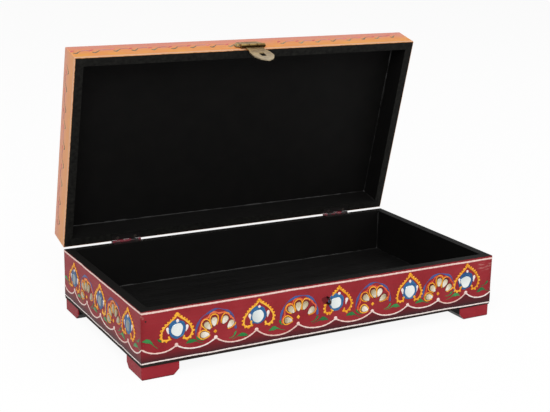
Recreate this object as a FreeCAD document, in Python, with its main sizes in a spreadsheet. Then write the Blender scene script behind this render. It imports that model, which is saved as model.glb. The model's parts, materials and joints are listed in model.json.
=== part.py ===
import FreeCAD, Part
import os
import re

import Sketcher
from FreeCAD import Placement, Rotation, Vector

# Driving sizes of the box in millimetres and degrees
SIZES = (
    # case: outer plan, wall boards and panels
    ("width", 300.0),
    ("depth", 160.0),
    ("wall", 7.0),
    ("base_height", 40.5),
    ("lid_wall_height", 19.5),
    ("top_thick", 3.0),
    ("bottom_thick", 5.0),
    ("rabbet", 3.5),
    ("fit_gap", 0.1),
    ("edge_round", 0.5),
    # how far the lid stands open, and the gap between the rims when it is shut
    ("lid_angle", 75.6),
    ("rim_gap", 0.3),
    # feet
    ("foot_side", 28.0),
    ("foot_height", 10.0),
    ("foot_inset", 0.5),
    ("foot_bevel", 4.5),
    ("foot_round", 1.0),
    # butt hinges on the back rims
    ("hinge_length", 25.0),
    ("hinge_left", -97.0),
    ("hinge_right", 102.0),
    ("leaf_width", 5.5),
    ("leaf_thick", 0.9),
    ("barrel_radius", 1.15),
    ("barrel_sink", 0.35),
    ("notch_clearance", 0.25),
    ("hinge_pin_radius", 0.5),
    ("pin_clearance", 0.05),
    ("knuckle_gap", 0.2),
    ("hinge_nail_pitch", 15.0),
    # hasp latch on the lid and its staple on the base
    ("latch_offset", -3.0),
    ("plate_width", 27.0),
    ("plate_top_width", 18.0),
    ("plate_low", 5.5),
    ("plate_wing", 9.5),
    ("plate_high", 14.3),
    ("plate_thick", 0.8),
    ("plate_nail_spread", 9.8),
    ("plate_nail_rise", 9.0),
    ("latch_axis_rise", 3.0),
    ("latch_barrel_clearance", 0.3),
    ("latch_barrel_radius", 1.7),
    ("latch_barrel_length", 21.0),
    ("latch_pin_radius", 0.7),
    ("latch_middle", 6.6),
    ("latch_play", 0.4),
    ("hasp_thick", 0.9),
    ("hasp_proud", 0.7),
    ("neck_width", 15.0),
    ("neck_drop", 5.5),
    ("hasp_width", 18.0),
    ("cheek_top_drop", 10.5),
    ("cheek_low_drop", 17.0),
    ("chin_width", 11.5),
    ("chin_drop", 23.0),
    ("tip_drop", 26.5),
    ("hasp_round", 2.0),
    ("slot_width", 4.5),
    ("slot_height", 7.5),
    ("slot_round", 1.4),
    ("staple_drop", 14.0),
    ("staple_wire", 0.8),
    ("staple_bend", 2.2),
    ("staple_reach", 5.5),
    ("staple_depth", 5.5),
    # nails
    ("nail_clearance", 0.03),
    ("nail_point", 1.5),
    ("corner_nail_radius", 0.65),
    ("corner_nail_grip", 13.0),
    ("corner_nail_low", 10.0),
    ("corner_nail_top", 7.5),
    ("lid_nail_low", 5.0),
    ("lid_nail_top", 5.0),
    ("panel_nail_radius", 0.5),
    ("bottom_nail_grip", 10.0),
    ("top_nail_grip", 10.0),
    ("panel_nail_pitch", 100.0),
    ("panel_nail_side_pitch", 80.0),
    ("foot_nail_radius", 0.65),
    ("foot_nail_grip", 3.1),
    ("foot_nail_sink", 0.6),
    ("foot_nail_spread", 9.0),
    ("hinge_nail_radius", 0.5),
    ("hinge_nail_head", 1.2),
    ("hinge_nail_cone", 0.7),
    ("hinge_nail_length", 9.0),
    ("plate_nail_radius", 0.5),
    ("plate_nail_head", 1.7),
    ("plate_nail_dome", 0.8),
    ("plate_nail_grip", 5.2),
)
KNUCKLES = 5
SIZE_NAMES = {name for name, _ in SIZES}

doc = FreeCAD.newDocument("jewellery_box")
sheet = doc.addObject("Spreadsheet::Sheet", "sizes")
for row, (name, number) in enumerate(SIZES, start=1):
    sheet.set(f"A{row}", name)
    sheet.set(f"B{row}", str(number))
    sheet.setAlias(f"B{row}", name)
doc.recompute()

# Outer heights and the hinge axis in formulas of the sheet's names
LID_HEIGHT = "(lid_wall_height + top_thick)"
SETBACK = "(barrel_radius - barrel_sink)"
BACK_REACH = (
    f"(depth/2 + {SETBACK} - ({SETBACK} + edge_round)*cos(lid_angle)"
    f" + (rim_gap/2 + {LID_HEIGHT} - edge_round)*sin(lid_angle) + edge_round)"
)
FRONT_REACH = "(depth/2 + staple_reach)"
BASE_Y = f"(({FRONT_REACH} - {BACK_REACH})/2)"
AXIS_Y = f"({BASE_Y} + depth/2 + {SETBACK})"
AXIS_Z = "(foot_height + base_height + rim_gap/2)"
# In the lid's own frame the origin lies on the hinge axis, with the lid shut
LID_BACK = f"(-{SETBACK})"
LID_FRONT = f"(-{SETBACK} - depth)"
LID_RIM = "(rim_gap/2)"

nodes = []


def value(name):
    """Read one size from the sheet."""
    return float(sheet.get(name))


def formula(text):
    """Turn a formula in size names into one in cells of the sheet."""
    return re.sub(r"[a-z_]+", lambda word: f"sizes.{word[0]}" if word[0] in SIZE_NAMES else word[0], text)


def bind(thing, **formulas):
    """Bind properties of a document object to formulas in size names."""
    for prop, text in formulas.items():
        thing.setExpression(prop.replace("__", "."), formula(text))


def move(thing, x="0", y="0", z="0"):
    """Bind the place of a document object to three formulas."""
    bind(thing, Placement__Base__x=x, Placement__Base__y=y, Placement__Base__z=z)
    return thing


def on_base(thing):
    """Stand a piece that is modelled about the base's centre on its feet."""
    return move(thing, y=BASE_Y, z="foot_height")


def on_axis(thing):
    """Put a piece that is modelled about the hinge axis there, fixed to the base."""
    return move(thing, y=AXIS_Y, z=AXIS_Z)


def on_lid(thing):
    """Put a piece that is modelled about the hinge axis there, turned with the open lid."""
    thing.Placement = Placement(Vector(), Rotation(Vector(1, 0, 0), -1))
    bind(thing, Placement__Rotation__Angle="-lid_angle")
    return move(thing, y=AXIS_Y, z=AXIS_Z)


def finish(thing, label):
    """List a finished piece under the name that its file gets."""
    thing.Label = label
    nodes.append(thing)
    return thing


def box(name, corner, lengths):
    """A box with its low corner and its three lengths as formulas."""
    solid = doc.addObject("Part::Box", name)
    bind(solid, Length=lengths[0], Width=lengths[1], Height=lengths[2])
    return move(solid, *corner)


def rod(name, radius, length, start, axis="x"):
    """A cylinder along x, y or z from its start point."""
    solid = doc.addObject("Part::Cylinder", name)
    turns = {"x": Rotation(Vector(0, 1, 0), 90), "y": Rotation(Vector(1, 0, 0), -90), "z": Rotation()}
    solid.Placement = Placement(Vector(), turns[axis])
    bind(solid, Radius=radius, Height=length)
    return move(solid, *start)


def fuse(name, solids):
    """Join several solids into one."""
    joined = doc.addObject("Part::MultiFuse", name)
    joined.Shapes = solids
    joined.Refine = True
    return joined


def group(name, members):
    """Collect solids that stay apart."""
    collected = doc.addObject("Part::Compound", name)
    collected.Links = members
    return collected


def cut(name, base, tools):
    """Take tools away from a solid."""
    tool = tools[0] if len(tools) == 1 else group(f"{name}_tools", tools)
    result = doc.addObject("Part::Cut", name)
    result.Base = base
    result.Tool = tool
    return result


def board(name, corner, lengths, shown):
    """A board whose edges between two faces that show are softened; shown names faces such as -y or +z."""
    plain = box(f"{name}_board", corner, lengths)
    doc.recompute()
    bounds = plain.Shape.BoundBox
    sides = {
        "-x": ("x", bounds.XMin), "+x": ("x", bounds.XMax),
        "-y": ("y", bounds.YMin), "+y": ("y", bounds.YMax),
        "-z": ("z", bounds.ZMin), "+z": ("z", bounds.ZMax),
    }
    radius = value("edge_round")
    picked = []
    for number, edge in enumerate(plain.Shape.Edges, start=1):
        middle = edge.CenterOfMass
        touching = [face for face in shown if abs(getattr(middle, sides[face][0]) - sides[face][1]) < 1e-6]
        if len(touching) == 2:
            picked.append((number, radius, radius))
    softened = doc.addObject("Part::Fillet", f"{name}_softened")
    softened.Base = plain
    softened.Edges = picked
    return softened


def outline(body, plane, loops):
    """A sketch of closed loops of straight lines on a plane of the body, each corner bound to formulas."""
    sketch = body.newObject("Sketcher::SketchObject", f"{body.Name}_outline")
    origin_plane = [item for item in body.Origin.OriginFeatures if item.Role == plane][0]
    sketch.AttachmentSupport = [(origin_plane, "")]
    sketch.MapMode = "FlatFace"
    for corners in loops:
        first = sketch.GeometryCount
        count = len(corners)
        spread = [Vector(number, number * number, 0) for number in range(count + 1)]
        for number in range(count):
            end = spread[(number + 1) % count]
            sketch.addGeometry(Part.LineSegment(spread[number], end), False)
        for number in range(count):
            here = first + number
            after = first + (number + 1) % count
            sketch.addConstraint(Sketcher.Constraint("Coincident", here, 2, after, 1))
        for number, (across, along) in enumerate(corners):
            for kind, text in (("DistanceX", across), ("DistanceY", along)):
                index = sketch.addConstraint(Sketcher.Constraint(kind, -1, 1, first + number, 1, 1.0))
                sketch.setExpression(f"Constraints[{index}]", formula(text))
    return sketch


def turned(name, corners):
    """A solid of revolution about z from corners given as radius and height."""
    body = doc.addObject("PartDesign::Body", name)
    sketch = outline(body, "XZ_Plane", [corners])
    doc.recompute()
    spin = body.newObject("PartDesign::Revolution", f"{name}_turned")
    spin.Profile = sketch
    spin.ReferenceAxis = (sketch, ["V_Axis"])
    spin.Angle = 360
    body.Tip = spin
    return body


def sheet_metal(name, loops, thickness, proud):
    """A flat sheet standing off the xz plane towards -y, cut to the loops of an outline."""
    body = doc.addObject("PartDesign::Body", name)
    sketch = outline(body, "XZ_Plane", loops)
    bind(sketch, AttachmentOffset__Base__z=proud)
    doc.recompute()
    pad = body.newObject("PartDesign::Pad", f"{name}_pad")
    pad.Profile = sketch
    bind(pad, Length=thickness)
    body.Tip = pad
    doc.recompute()
    return body


def softened_corners(body, spots, radius):
    """Round the short edges through a sheet that lie at the given places in x and z."""
    edges = []
    for number, edge in enumerate(body.Shape.Edges, start=1):
        middle = edge.CenterOfMass
        along_y = abs(edge.Vertexes[0].Point.y - edge.Vertexes[-1].Point.y) > 1e-6
        if along_y and any(abs(middle.x - x) < 1e-4 and abs(middle.z - z) < 1e-4 for x, z in spots):
            edges.append(f"Edge{number}")
    base = body.Tip
    rounding = body.newObject("PartDesign::Fillet", f"{base.Name}_round")
    rounding.Base = (base, edges)
    bind(rounding, Radius=radius)
    body.Tip = rounding
    doc.recompute()


def pin_nail(name, radius, length):
    """A headless round nail with a point, its flat end at the origin and its shank down -z."""
    corners = [("0", "0"), (radius, "0"), (radius, f"nail_point - {length}"), ("0", f"-{length}")]
    return turned(name, corners)


def drilling(name, radius, length):
    """The hole of a headless nail, open above its flat end."""
    bore = f"{radius} + nail_clearance"
    end = f"-{length} - nail_clearance"
    return turned(name, [("0", "1"), (bore, "1"), (bore, end), ("0", end)])


def copies(name, master, places):
    """Repeat one solid at each of several places."""
    array = doc.addObject("App::Link", name)
    array.LinkedObject = master
    array.ElementCount = len(places)
    array.ShowElement = False
    array.PlacementList = places
    return array


def nail_set(name, master, hole, places):
    """Nails and their holes at the same places: returns the group of nails and the holes."""
    return group(name, [copies(f"{name}_copies", master, places)]), copies(f"{name}_holes", hole, places)


def facing(x, y, z, angle):
    """A nail's place, turned about x: 0 drives it down, 180 up, 90 to the back and -90 to the front."""
    return Placement(Vector(x, y, z), Rotation(Vector(1, 0, 0), angle))


# Places of the nails, from the sheet
half_width = value("width") / 2
half_depth = value("depth") / 2
half_wall = value("wall") / 2
setback = value("barrel_radius") - value("barrel_sink")
lid_front = -setback - value("depth")
lid_middle = -setback - half_depth
lid_rim = value("rim_gap") / 2
lid_top = lid_rim + value("lid_wall_height") + value("top_thick")
panel_pitch = value("panel_nail_pitch")
side_pitch = value("panel_nail_side_pitch")
rabbet_line = value("wall") - value("rabbet") / 2

corner_x = half_width - half_wall
base_corner_places = [
    facing(side * corner_x, end * half_depth, height, -90 * end)
    for side in (-1, 1)
    for end in (-1, 1)
    for height in (value("corner_nail_low"), value("base_height") - value("corner_nail_top"))
]
lid_corner_places = [
    facing(side * corner_x, lid_middle + end * half_depth, lid_rim + height, -90 * end)
    for side in (-1, 1)
    for end in (-1, 1)
    for height in (value("lid_nail_low"), value("lid_wall_height") - value("lid_nail_top"))
]
bottom_places = [
    facing(step * panel_pitch, end * (half_depth - rabbet_line), 0, 180)
    for step in (-1, 0, 1)
    for end in (-1, 1)
] + [
    facing(side * (half_width - rabbet_line), step * side_pitch / 2, 0, 180)
    for side in (-1, 1)
    for step in (-1, 1)
]
top_places = [
    facing(step * panel_pitch, lid_middle + end * (half_depth - half_wall), lid_top, 0)
    for step in (-1, 0, 1)
    for end in (-1, 1)
] + [
    facing(side * corner_x, lid_middle + step * side_pitch / 2, lid_top, 0)
    for side in (-1, 1)
    for step in (-1, 1)
]
foot_middle = value("foot_inset") + value("foot_side") / 2
foot_shift = value("foot_nail_spread") / 2
foot_places = [
    facing(
        side * (half_width - foot_middle + slant * foot_shift),
        end * (half_depth - foot_middle - slant * foot_shift),
        value("foot_nail_sink") - value("foot_height"),
        180,
    )
    for side in (-1, 1)
    for end in (-1, 1)
    for slant in (-1, 1)
]
leaf_line = -setback - value("leaf_width") / 2
hinge_spots = [
    (value(hinge) + step * value("hinge_nail_pitch") / 2, leaf_line)
    for hinge in ("hinge_left", "hinge_right")
    for step in (-1, 1)
]
hinge_base_places = [facing(x, y, -lid_rim, 0) for x, y in hinge_spots]
hinge_lid_places = [facing(x, y, lid_rim, 180) for x, y in hinge_spots]
plate_places = [
    facing(
        value("latch_offset") + side * value("plate_nail_spread"),
        lid_front - value("plate_thick"),
        lid_rim + value("plate_nail_rise"),
        90,
    )
    for side in (-1, 1)
]

# Nails and the holes they are driven into
CORNER_NAIL = "(wall + corner_nail_grip)"
BOTTOM_NAIL = "(bottom_thick + bottom_nail_grip)"
TOP_NAIL = "(top_thick + top_nail_grip)"
FOOT_NAIL = "(foot_height - foot_nail_sink + foot_nail_grip)"
PLATE_NAIL = "(plate_thick + plate_nail_grip)"
corner_nail = pin_nail("corner_nail", "corner_nail_radius", CORNER_NAIL)
corner_hole = drilling("corner_hole", "corner_nail_radius", CORNER_NAIL)
bottom_nail = pin_nail("bottom_nail", "panel_nail_radius", BOTTOM_NAIL)
bottom_hole = drilling("bottom_hole", "panel_nail_radius", BOTTOM_NAIL)
top_nail = pin_nail("top_nail", "panel_nail_radius", TOP_NAIL)
top_hole = drilling("top_hole", "panel_nail_radius", TOP_NAIL)
foot_nail = pin_nail("foot_nail", "foot_nail_radius", FOOT_NAIL)
foot_hole = drilling("foot_hole", "foot_nail_radius", FOOT_NAIL)
hinge_nail = turned("hinge_nail", [
    ("0", "0"),
    ("hinge_nail_head", "0"),
    ("hinge_nail_radius", "-hinge_nail_cone"),
    ("hinge_nail_radius", "nail_point - hinge_nail_length"),
    ("0", "-hinge_nail_length"),
])
hinge_hole = turned("hinge_hole", [
    ("0", "rim_gap"),
    ("hinge_nail_head + nail_clearance", "rim_gap"),
    ("hinge_nail_head + nail_clearance", "-nail_clearance"),
    ("hinge_nail_radius + nail_clearance", "-hinge_nail_cone - nail_clearance"),
    ("hinge_nail_radius + nail_clearance", "-hinge_nail_length - nail_clearance"),
    ("0", "-hinge_nail_length - nail_clearance"),
])
plate_nail = turned("plate_nail", [
    ("0", "plate_nail_dome"),
    ("plate_nail_head*0.45", "plate_nail_dome*0.9"),
    ("plate_nail_head*0.85", "plate_nail_dome*0.5"),
    ("plate_nail_head", "0"),
    ("plate_nail_radius", "0"),
    ("plate_nail_radius", f"nail_point - {PLATE_NAIL}"),
    ("0", f"-{PLATE_NAIL}"),
])
plate_hole = drilling("plate_hole", "plate_nail_radius", PLATE_NAIL)

base_corner_nails, base_corner_holes = nail_set(
    "base_corner_nails", corner_nail, corner_hole, base_corner_places,
)
lid_corner_nails, lid_corner_holes = nail_set(
    "lid_corner_nails", corner_nail, corner_hole, lid_corner_places,
)
bottom_panel_nails, bottom_holes = nail_set("bottom_panel_nails", bottom_nail, bottom_hole, bottom_places)
lid_top_nails, top_holes = nail_set("lid_top_nails", top_nail, top_hole, top_places)
foot_nails, foot_holes = nail_set("foot_nails", foot_nail, foot_hole, foot_places)
hinge_base_nails, hinge_base_holes = nail_set("hinge_base_nails", hinge_nail, hinge_hole, hinge_base_places)
hinge_lid_nails, hinge_lid_holes = nail_set("hinge_lid_nails", hinge_nail, hinge_hole, hinge_lid_places)
latch_nails, latch_holes = nail_set("latch_nails", plate_nail, plate_hole, plate_places)
# The hinge nails' holes again, about the base's centre
hinge_wall_holes = group("hinge_wall_holes", [hinge_base_holes])
move(hinge_wall_holes, y=f"depth/2 + {SETBACK}", z="base_height + rim_gap/2")

for nails in (base_corner_nails, bottom_panel_nails, foot_nails):
    finish(on_base(nails), nails.Name)
for nails in (lid_corner_nails, lid_top_nails, hinge_lid_nails, latch_nails):
    finish(on_lid(nails), nails.Name)
finish(on_axis(hinge_base_nails), "hinge_base_nails")


def mortises(name, y, z, depth):
    """Shallow recesses for both hinge leaves in the back edge of a rim."""
    return [
        box(
            f"{name}_{side}",
            (f"hinge_{side} - hinge_length/2 - fit_gap", f"{y} - leaf_width - fit_gap", z),
            ("hinge_length + 2*fit_gap", "leaf_width + fit_gap + 1", depth),
        )
        for side in ("left", "right")
    ]


# Wire staple: two legs let into the front wall and a half ring in front of it
STAPLE_Z = "(base_height - staple_drop)"
STAPLE_BEND_Y = "(-depth/2 - staple_reach + staple_bend + staple_wire)"
LEG_LENGTH = f"(-depth/2 + staple_depth - {STAPLE_BEND_Y})"
staple_ring = doc.addObject("Part::Torus", "staple_ring")
staple_ring.Placement = Placement(Vector(), Rotation(Vector(0, 0, 1), Vector(1, 0, 0)))
bind(staple_ring, Radius1="staple_bend", Radius2="staple_wire")
move(staple_ring, "latch_offset", STAPLE_BEND_Y, STAPLE_Z)
ring_front = box(
    "ring_front",
    (
        "latch_offset - staple_wire - 1",
        "-depth/2 - staple_reach - 1",
        f"{STAPLE_Z} - staple_bend - staple_wire - 1",
    ),
    (
        "2*(staple_wire + 1)",
        f"{STAPLE_BEND_Y} + depth/2 + staple_reach + 1",
        "2*(staple_bend + staple_wire + 1)",
    ),
)
staple_bow = doc.addObject("Part::Common", "staple_bow")
staple_bow.Base = staple_ring
staple_bow.Tool = ring_front
legs = []
leg_holes = []
for side, sign in (("upper", "+"), ("lower", "-")):
    height = f"{STAPLE_Z} {sign} staple_bend"
    legs.append(rod(f"leg_{side}", "staple_wire", LEG_LENGTH, ("latch_offset", STAPLE_BEND_Y, height), "y"))
    leg_holes.append(rod(
        f"leg_hole_{side}",
        "staple_wire + nail_clearance",
        "staple_depth + nail_clearance + 1",
        ("latch_offset", "-depth/2 - 1", height),
        "y",
    ))
finish(on_base(fuse("latch_staple", [staple_bow] + legs)), "latch_staple")

# Base walls: the front and back walls cover the ends of the side walls
RABBET_EDGE = "(wall - rabbet)"
BASE_SIDE = "depth - 2*wall"
front_board = board(
    "base_front",
    ("-width/2", "-depth/2", "0"),
    ("width", "wall", "base_height"),
    ("-x", "+x", "-y", "+z"),
)
front_rabbet = box(
    "front_rabbet",
    (f"-width/2 + {RABBET_EDGE}", f"-depth/2 + {RABBET_EDGE}", "-1"),
    (f"width - 2*{RABBET_EDGE}", "rabbet + 1", "bottom_thick + 1"),
)
base_front = cut(
    "base_front_wall", front_board, [front_rabbet, base_corner_holes, bottom_holes] + leg_holes,
)
finish(on_base(base_front), "base_front_wall")

back_board = board(
    "base_back",
    ("-width/2", "depth/2 - wall", "0"),
    ("width", "wall", "base_height"),
    ("-x", "+x", "+y", "+z"),
)
back_rabbet = box(
    "back_rabbet",
    (f"-width/2 + {RABBET_EDGE}", "depth/2 - wall - 1", "-1"),
    (f"width - 2*{RABBET_EDGE}", "rabbet + 1", "bottom_thick + 1"),
)
base_mortises = mortises("base_mortise", "depth/2", "base_height - leaf_thick", "leaf_thick + 1")
base_back = cut(
    "base_back_wall",
    cut("base_back_recessed", back_board, [back_rabbet] + base_mortises),
    [base_corner_holes, bottom_holes, hinge_wall_holes],
)
finish(on_base(base_back), "base_back_wall")

for side, face, corner, groove in (
    ("left", "-x", "-width/2", f"-width/2 + {RABBET_EDGE}"),
    ("right", "+x", "width/2 - wall", "width/2 - wall - 1"),
):
    side_board = board(
        f"base_{side}",
        (corner, "-depth/2 + wall", "0"),
        ("wall", BASE_SIDE, "base_height"),
        (face, "+z"),
    )
    side_rabbet = box(
        f"{side}_rabbet",
        (groove, "-depth/2 + wall - 1", "-1"),
        ("rabbet + 1", f"{BASE_SIDE} + 2", "bottom_thick + 1"),
    )
    side_wall = cut(f"base_{side}_wall", side_board, [side_rabbet, base_corner_holes, bottom_holes])
    finish(on_base(side_wall), f"base_{side}_wall")

# Bottom panel, up against the shoulders of the rabbets
PANEL_EDGE = f"({RABBET_EDGE} + fit_gap)"
panel = box(
    "bottom_plain",
    (f"-width/2 + {PANEL_EDGE}", f"-depth/2 + {PANEL_EDGE}", "0"),
    (f"width - 2*{PANEL_EDGE}", f"depth - 2*{PANEL_EDGE}", "bottom_thick"),
)
finish(on_base(cut("bottom_panel", panel, [bottom_holes, foot_holes])), "bottom_panel")


def foot(label, x, y, turn):
    """A block foot, modelled from its outer corner on the floor and turned to its own corner of the box."""
    body = doc.addObject("PartDesign::Body", f"{label}_block")
    square = [("0", "0"), ("foot_side", "0"), ("foot_side", "foot_side"), ("0", "foot_side")]
    sketch = outline(body, "XY_Plane", [square])
    doc.recompute()
    pad = body.newObject("PartDesign::Pad", f"{label}_pad")
    pad.Profile = sketch
    bind(pad, Length="foot_height")
    body.Tip = pad
    doc.recompute()
    inner = []
    for number, edge in enumerate(pad.Shape.Edges, start=1):
        middle = edge.CenterOfMass
        if middle.z < 1e-6 and max(middle.x, middle.y) > value("foot_side") - 1e-6:
            inner.append(f"Edge{number}")
    bevel = body.newObject("PartDesign::Chamfer", f"{label}_bevel")
    bevel.Base = (pad, inner)
    bind(bevel, Size="foot_bevel")
    body.Tip = bevel
    doc.recompute()
    outer = []
    for number, edge in enumerate(bevel.Shape.Edges, start=1):
        middle = edge.CenterOfMass
        on_floor = middle.z < 1e-6 and min(middle.x, middle.y) < 1e-6
        upright = middle.x + middle.y < 1e-6
        if on_floor or upright:
            outer.append(f"Edge{number}")
    rounding = body.newObject("PartDesign::Fillet", f"{label}_round")
    rounding.Base = (bevel, outer)
    bind(rounding, Radius="foot_round")
    body.Tip = rounding
    body.Placement = Placement(Vector(), Rotation(Vector(0, 0, 1), turn))
    move(body, x, y, "-foot_height")
    finish(on_base(cut(label, body, [foot_holes])), label)


foot("foot_front_left", "-width/2 + foot_inset", "-depth/2 + foot_inset", 0)
foot("foot_front_right", "width/2 - foot_inset", "-depth/2 + foot_inset", 90)
foot("foot_back_right", "width/2 - foot_inset", "depth/2 - foot_inset", 180)
foot("foot_back_left", "-width/2 + foot_inset", "depth/2 - foot_inset", 270)

# Lid walls and the panel on top of them
lid_front_board = board(
    "lid_front",
    ("-width/2", LID_FRONT, LID_RIM),
    ("width", "wall", "lid_wall_height"),
    ("-x", "+x", "-y", "-z"),
)
lid_front_wall = cut("lid_front_wall", lid_front_board, [lid_corner_holes, top_holes, latch_holes])
finish(on_lid(lid_front_wall), "lid_front_wall")

lid_back_board = board(
    "lid_back",
    ("-width/2", f"{LID_BACK} - wall", LID_RIM),
    ("width", "wall", "lid_wall_height"),
    ("-x", "+x", "+y", "-z"),
)
lid_mortises = mortises("lid_mortise", LID_BACK, f"{LID_RIM} - 1", "leaf_thick + 1")
lid_back = cut(
    "lid_back_wall",
    cut("lid_back_recessed", lid_back_board, lid_mortises),
    [lid_corner_holes, top_holes, hinge_lid_holes],
)
finish(on_lid(lid_back), "lid_back_wall")

for side, face, corner in (("left", "-x", "-width/2"), ("right", "+x", "width/2 - wall")):
    lid_board = board(
        f"lid_{side}",
        (corner, f"{LID_FRONT} + wall", LID_RIM),
        ("wall", BASE_SIDE, "lid_wall_height"),
        (face, "-z"),
    )
    finish(on_lid(cut(f"lid_{side}_wall", lid_board, [lid_corner_holes, top_holes])), f"lid_{side}_wall")

top_board = board(
    "lid_top",
    ("-width/2", LID_FRONT, f"{LID_RIM} + lid_wall_height"),
    ("width", "depth", "top_thick"),
    ("-x", "+x", "-y", "+y", "+z"),
)
finish(on_lid(cut("lid_top_panel", top_board, [top_holes])), "lid_top_panel")


def hinge_leaf(label, side, low, own, holes):
    """A hinge leaf from its low face up, with tabs and knuckles at its own numbers along the barrel."""
    start = f"(hinge_{side} - hinge_length/2)"
    pitch = f"(hinge_length/{KNUCKLES})"
    # Between its tabs the leaf is notched for the other leaf's knuckles
    notch = "(barrel_sink + notch_clearance)"
    slab = ("hinge_length", f"leaf_width - {notch}", "leaf_thick")
    solids = [box(f"{label}_slab", (start, f"{LID_BACK} - leaf_width", low), slab)]
    for number in own:
        begin = f"{start} + {number}*{pitch} + knuckle_gap/2"
        long = f"{pitch} - knuckle_gap"
        tab = (long, f"{SETBACK} + {notch}", "leaf_thick")
        solids.append(box(f"{label}_tab{number}", (begin, f"{LID_BACK} - {notch}", low), tab))
        solids.append(rod(f"{label}_knuckle{number}", "barrel_radius", long, (begin, "0", "0")))
    bore = rod(
        f"{label}_bore", "hinge_pin_radius + pin_clearance", "hinge_length + 2", (f"{start} - 1", "0", "0"),
    )
    return cut(label, cut(f"{label}_bored", fuse(f"{label}_joined", solids), [bore]), [holes])


for side in ("left", "right"):
    base_low = f"(-{LID_RIM} - leaf_thick)"
    base_leaf = hinge_leaf(f"hinge_{side}_base_leaf", side, base_low, (0, 2, 4), hinge_base_holes)
    finish(on_axis(base_leaf), base_leaf.Name)
    lid_leaf = hinge_leaf(f"hinge_{side}_lid_leaf", side, LID_RIM, (1, 3), hinge_lid_holes)
    finish(on_lid(lid_leaf), lid_leaf.Name)
    hinge_pin = rod(
        f"hinge_{side}_pin",
        "hinge_pin_radius",
        "hinge_length",
        (f"hinge_{side} - hinge_length/2", AXIS_Y, AXIS_Z),
    )
    finish(hinge_pin, hinge_pin.Name)

# Latch, modelled on the lid's front face: x across from its middle and z up from the rim
LATCH_Z = "latch_axis_rise"
LATCH_Y = "(-latch_barrel_radius - latch_barrel_clearance)"
MIDDLE_EDGE = "(latch_middle/2 + latch_play)"
NOTCH_TOP = "(latch_axis_rise + latch_barrel_radius + latch_play)"
SHOULDER = "(latch_axis_rise - latch_barrel_radius - latch_play)"
SLOT_Z = "(-staple_drop - rim_gap)"


def mirrored(half):
    """Complete a loop from its right half, given from the bottom to the top."""
    return half + [(f"-{across}", along) for across, along in reversed(half)]


def on_lid_front(thing):
    """Bring a latch piece to its place on the shut lid."""
    return move(thing, "latch_offset", LID_FRONT, LID_RIM)


plate_sheet = sheet_metal("plate_sheet", [mirrored([
    (MIDDLE_EDGE, NOTCH_TOP),
    (MIDDLE_EDGE, LATCH_Z),
    ("latch_barrel_length/2", LATCH_Z),
    ("latch_barrel_length/2", "plate_low - 1"),
    ("plate_width/2", "plate_low"),
    ("plate_width/2", "plate_wing"),
    ("plate_top_width/2", "plate_high"),
])], "plate_thick", "0")
half_plate = value("plate_width") / 2
softened_corners(plate_sheet, [
    (side * across, height)
    for side in (-1, 1)
    for across, height in (
        (half_plate, value("plate_low")),
        (half_plate, value("plate_wing")),
        (value("plate_top_width") / 2, value("plate_high")),
    )
], "hasp_round/2")
END_LENGTH = f"(latch_barrel_length/2 - {MIDDLE_EDGE})"
BARREL_START = "-latch_barrel_length/2"
plate_solids = [
    plate_sheet,
    rod("plate_knuckle_left", "latch_barrel_radius", END_LENGTH, (BARREL_START, LATCH_Y, LATCH_Z)),
    rod("plate_knuckle_right", "latch_barrel_radius", END_LENGTH, (MIDDLE_EDGE, LATCH_Y, LATCH_Z)),
]
latch_bore = rod(
    "latch_bore",
    "latch_pin_radius + pin_clearance",
    "latch_barrel_length + 2",
    (f"{BARREL_START} - 1", LATCH_Y, LATCH_Z),
)
plate_bored = cut("plate_bored", fuse("plate_joined", plate_solids), [latch_bore])
on_lid_front(plate_bored)
finish(on_lid(cut("latch_plate", plate_bored, [latch_holes])), "latch_plate")

hasp_sheet = sheet_metal("hasp_sheet", [
    mirrored([
        ("chin_width/2", "-chin_drop"),
        ("hasp_width/2", "-cheek_low_drop"),
        ("hasp_width/2", "-cheek_top_drop"),
        ("neck_width/2", "-neck_drop"),
        ("neck_width/2", SHOULDER),
        ("latch_middle/2", SHOULDER),
        ("latch_middle/2", LATCH_Z),
    ]) + [("0", "-tip_drop")],
    mirrored([
        ("slot_width/2", f"{SLOT_Z} - slot_height/2"),
        ("slot_width/2", f"{SLOT_Z} + slot_height/2"),
    ]),
], "hasp_thick", "hasp_proud")
slot_middle = -value("staple_drop") - value("rim_gap")
half_slot = value("slot_width") / 2
half_height = value("slot_height") / 2
softened_corners(hasp_sheet, [
    (side * half_slot, slot_middle + end * half_height) for side in (-1, 1) for end in (-1, 1)
], "slot_round")
softened_corners(hasp_sheet, [(0, -value("tip_drop"))] + [
    (side * across, -drop)
    for side in (-1, 1)
    for across, drop in (
        (value("chin_width") / 2, value("chin_drop")),
        (value("hasp_width") / 2, value("cheek_low_drop")),
        (value("hasp_width") / 2, value("cheek_top_drop")),
    )
], "hasp_round")
hasp_knuckle = rod(
    "hasp_knuckle", "latch_barrel_radius", "latch_middle", ("-latch_middle/2", LATCH_Y, LATCH_Z),
)
hasp_bored = cut("hasp_bored", fuse("hasp_joined", [hasp_sheet, hasp_knuckle]), [latch_bore])
on_lid_front(hasp_bored)
finish(on_lid(group("latch_hasp", [hasp_bored])), "latch_hasp")

latch_pin = rod(
    "latch_pin_plain", "latch_pin_radius", "latch_barrel_length", (BARREL_START, LATCH_Y, LATCH_Z),
)
latch_pin_shut = group("latch_pin_shut", [latch_pin])
on_lid_front(latch_pin_shut)
finish(on_lid(group("latch_pin", [latch_pin_shut])), "latch_pin")

doc.recompute()
for thing in doc.Objects:
    if "Invalid" in thing.State or "Error" in thing.State:
        raise RuntimeError(f"{thing.Label} failed to build: {thing.State}")
for piece in nodes:
    if piece.Shape.isNull() or not piece.Shape.isValid() or not piece.Shape.Solids:
        raise RuntimeError(f"{piece.Label} has no valid solid")

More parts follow.
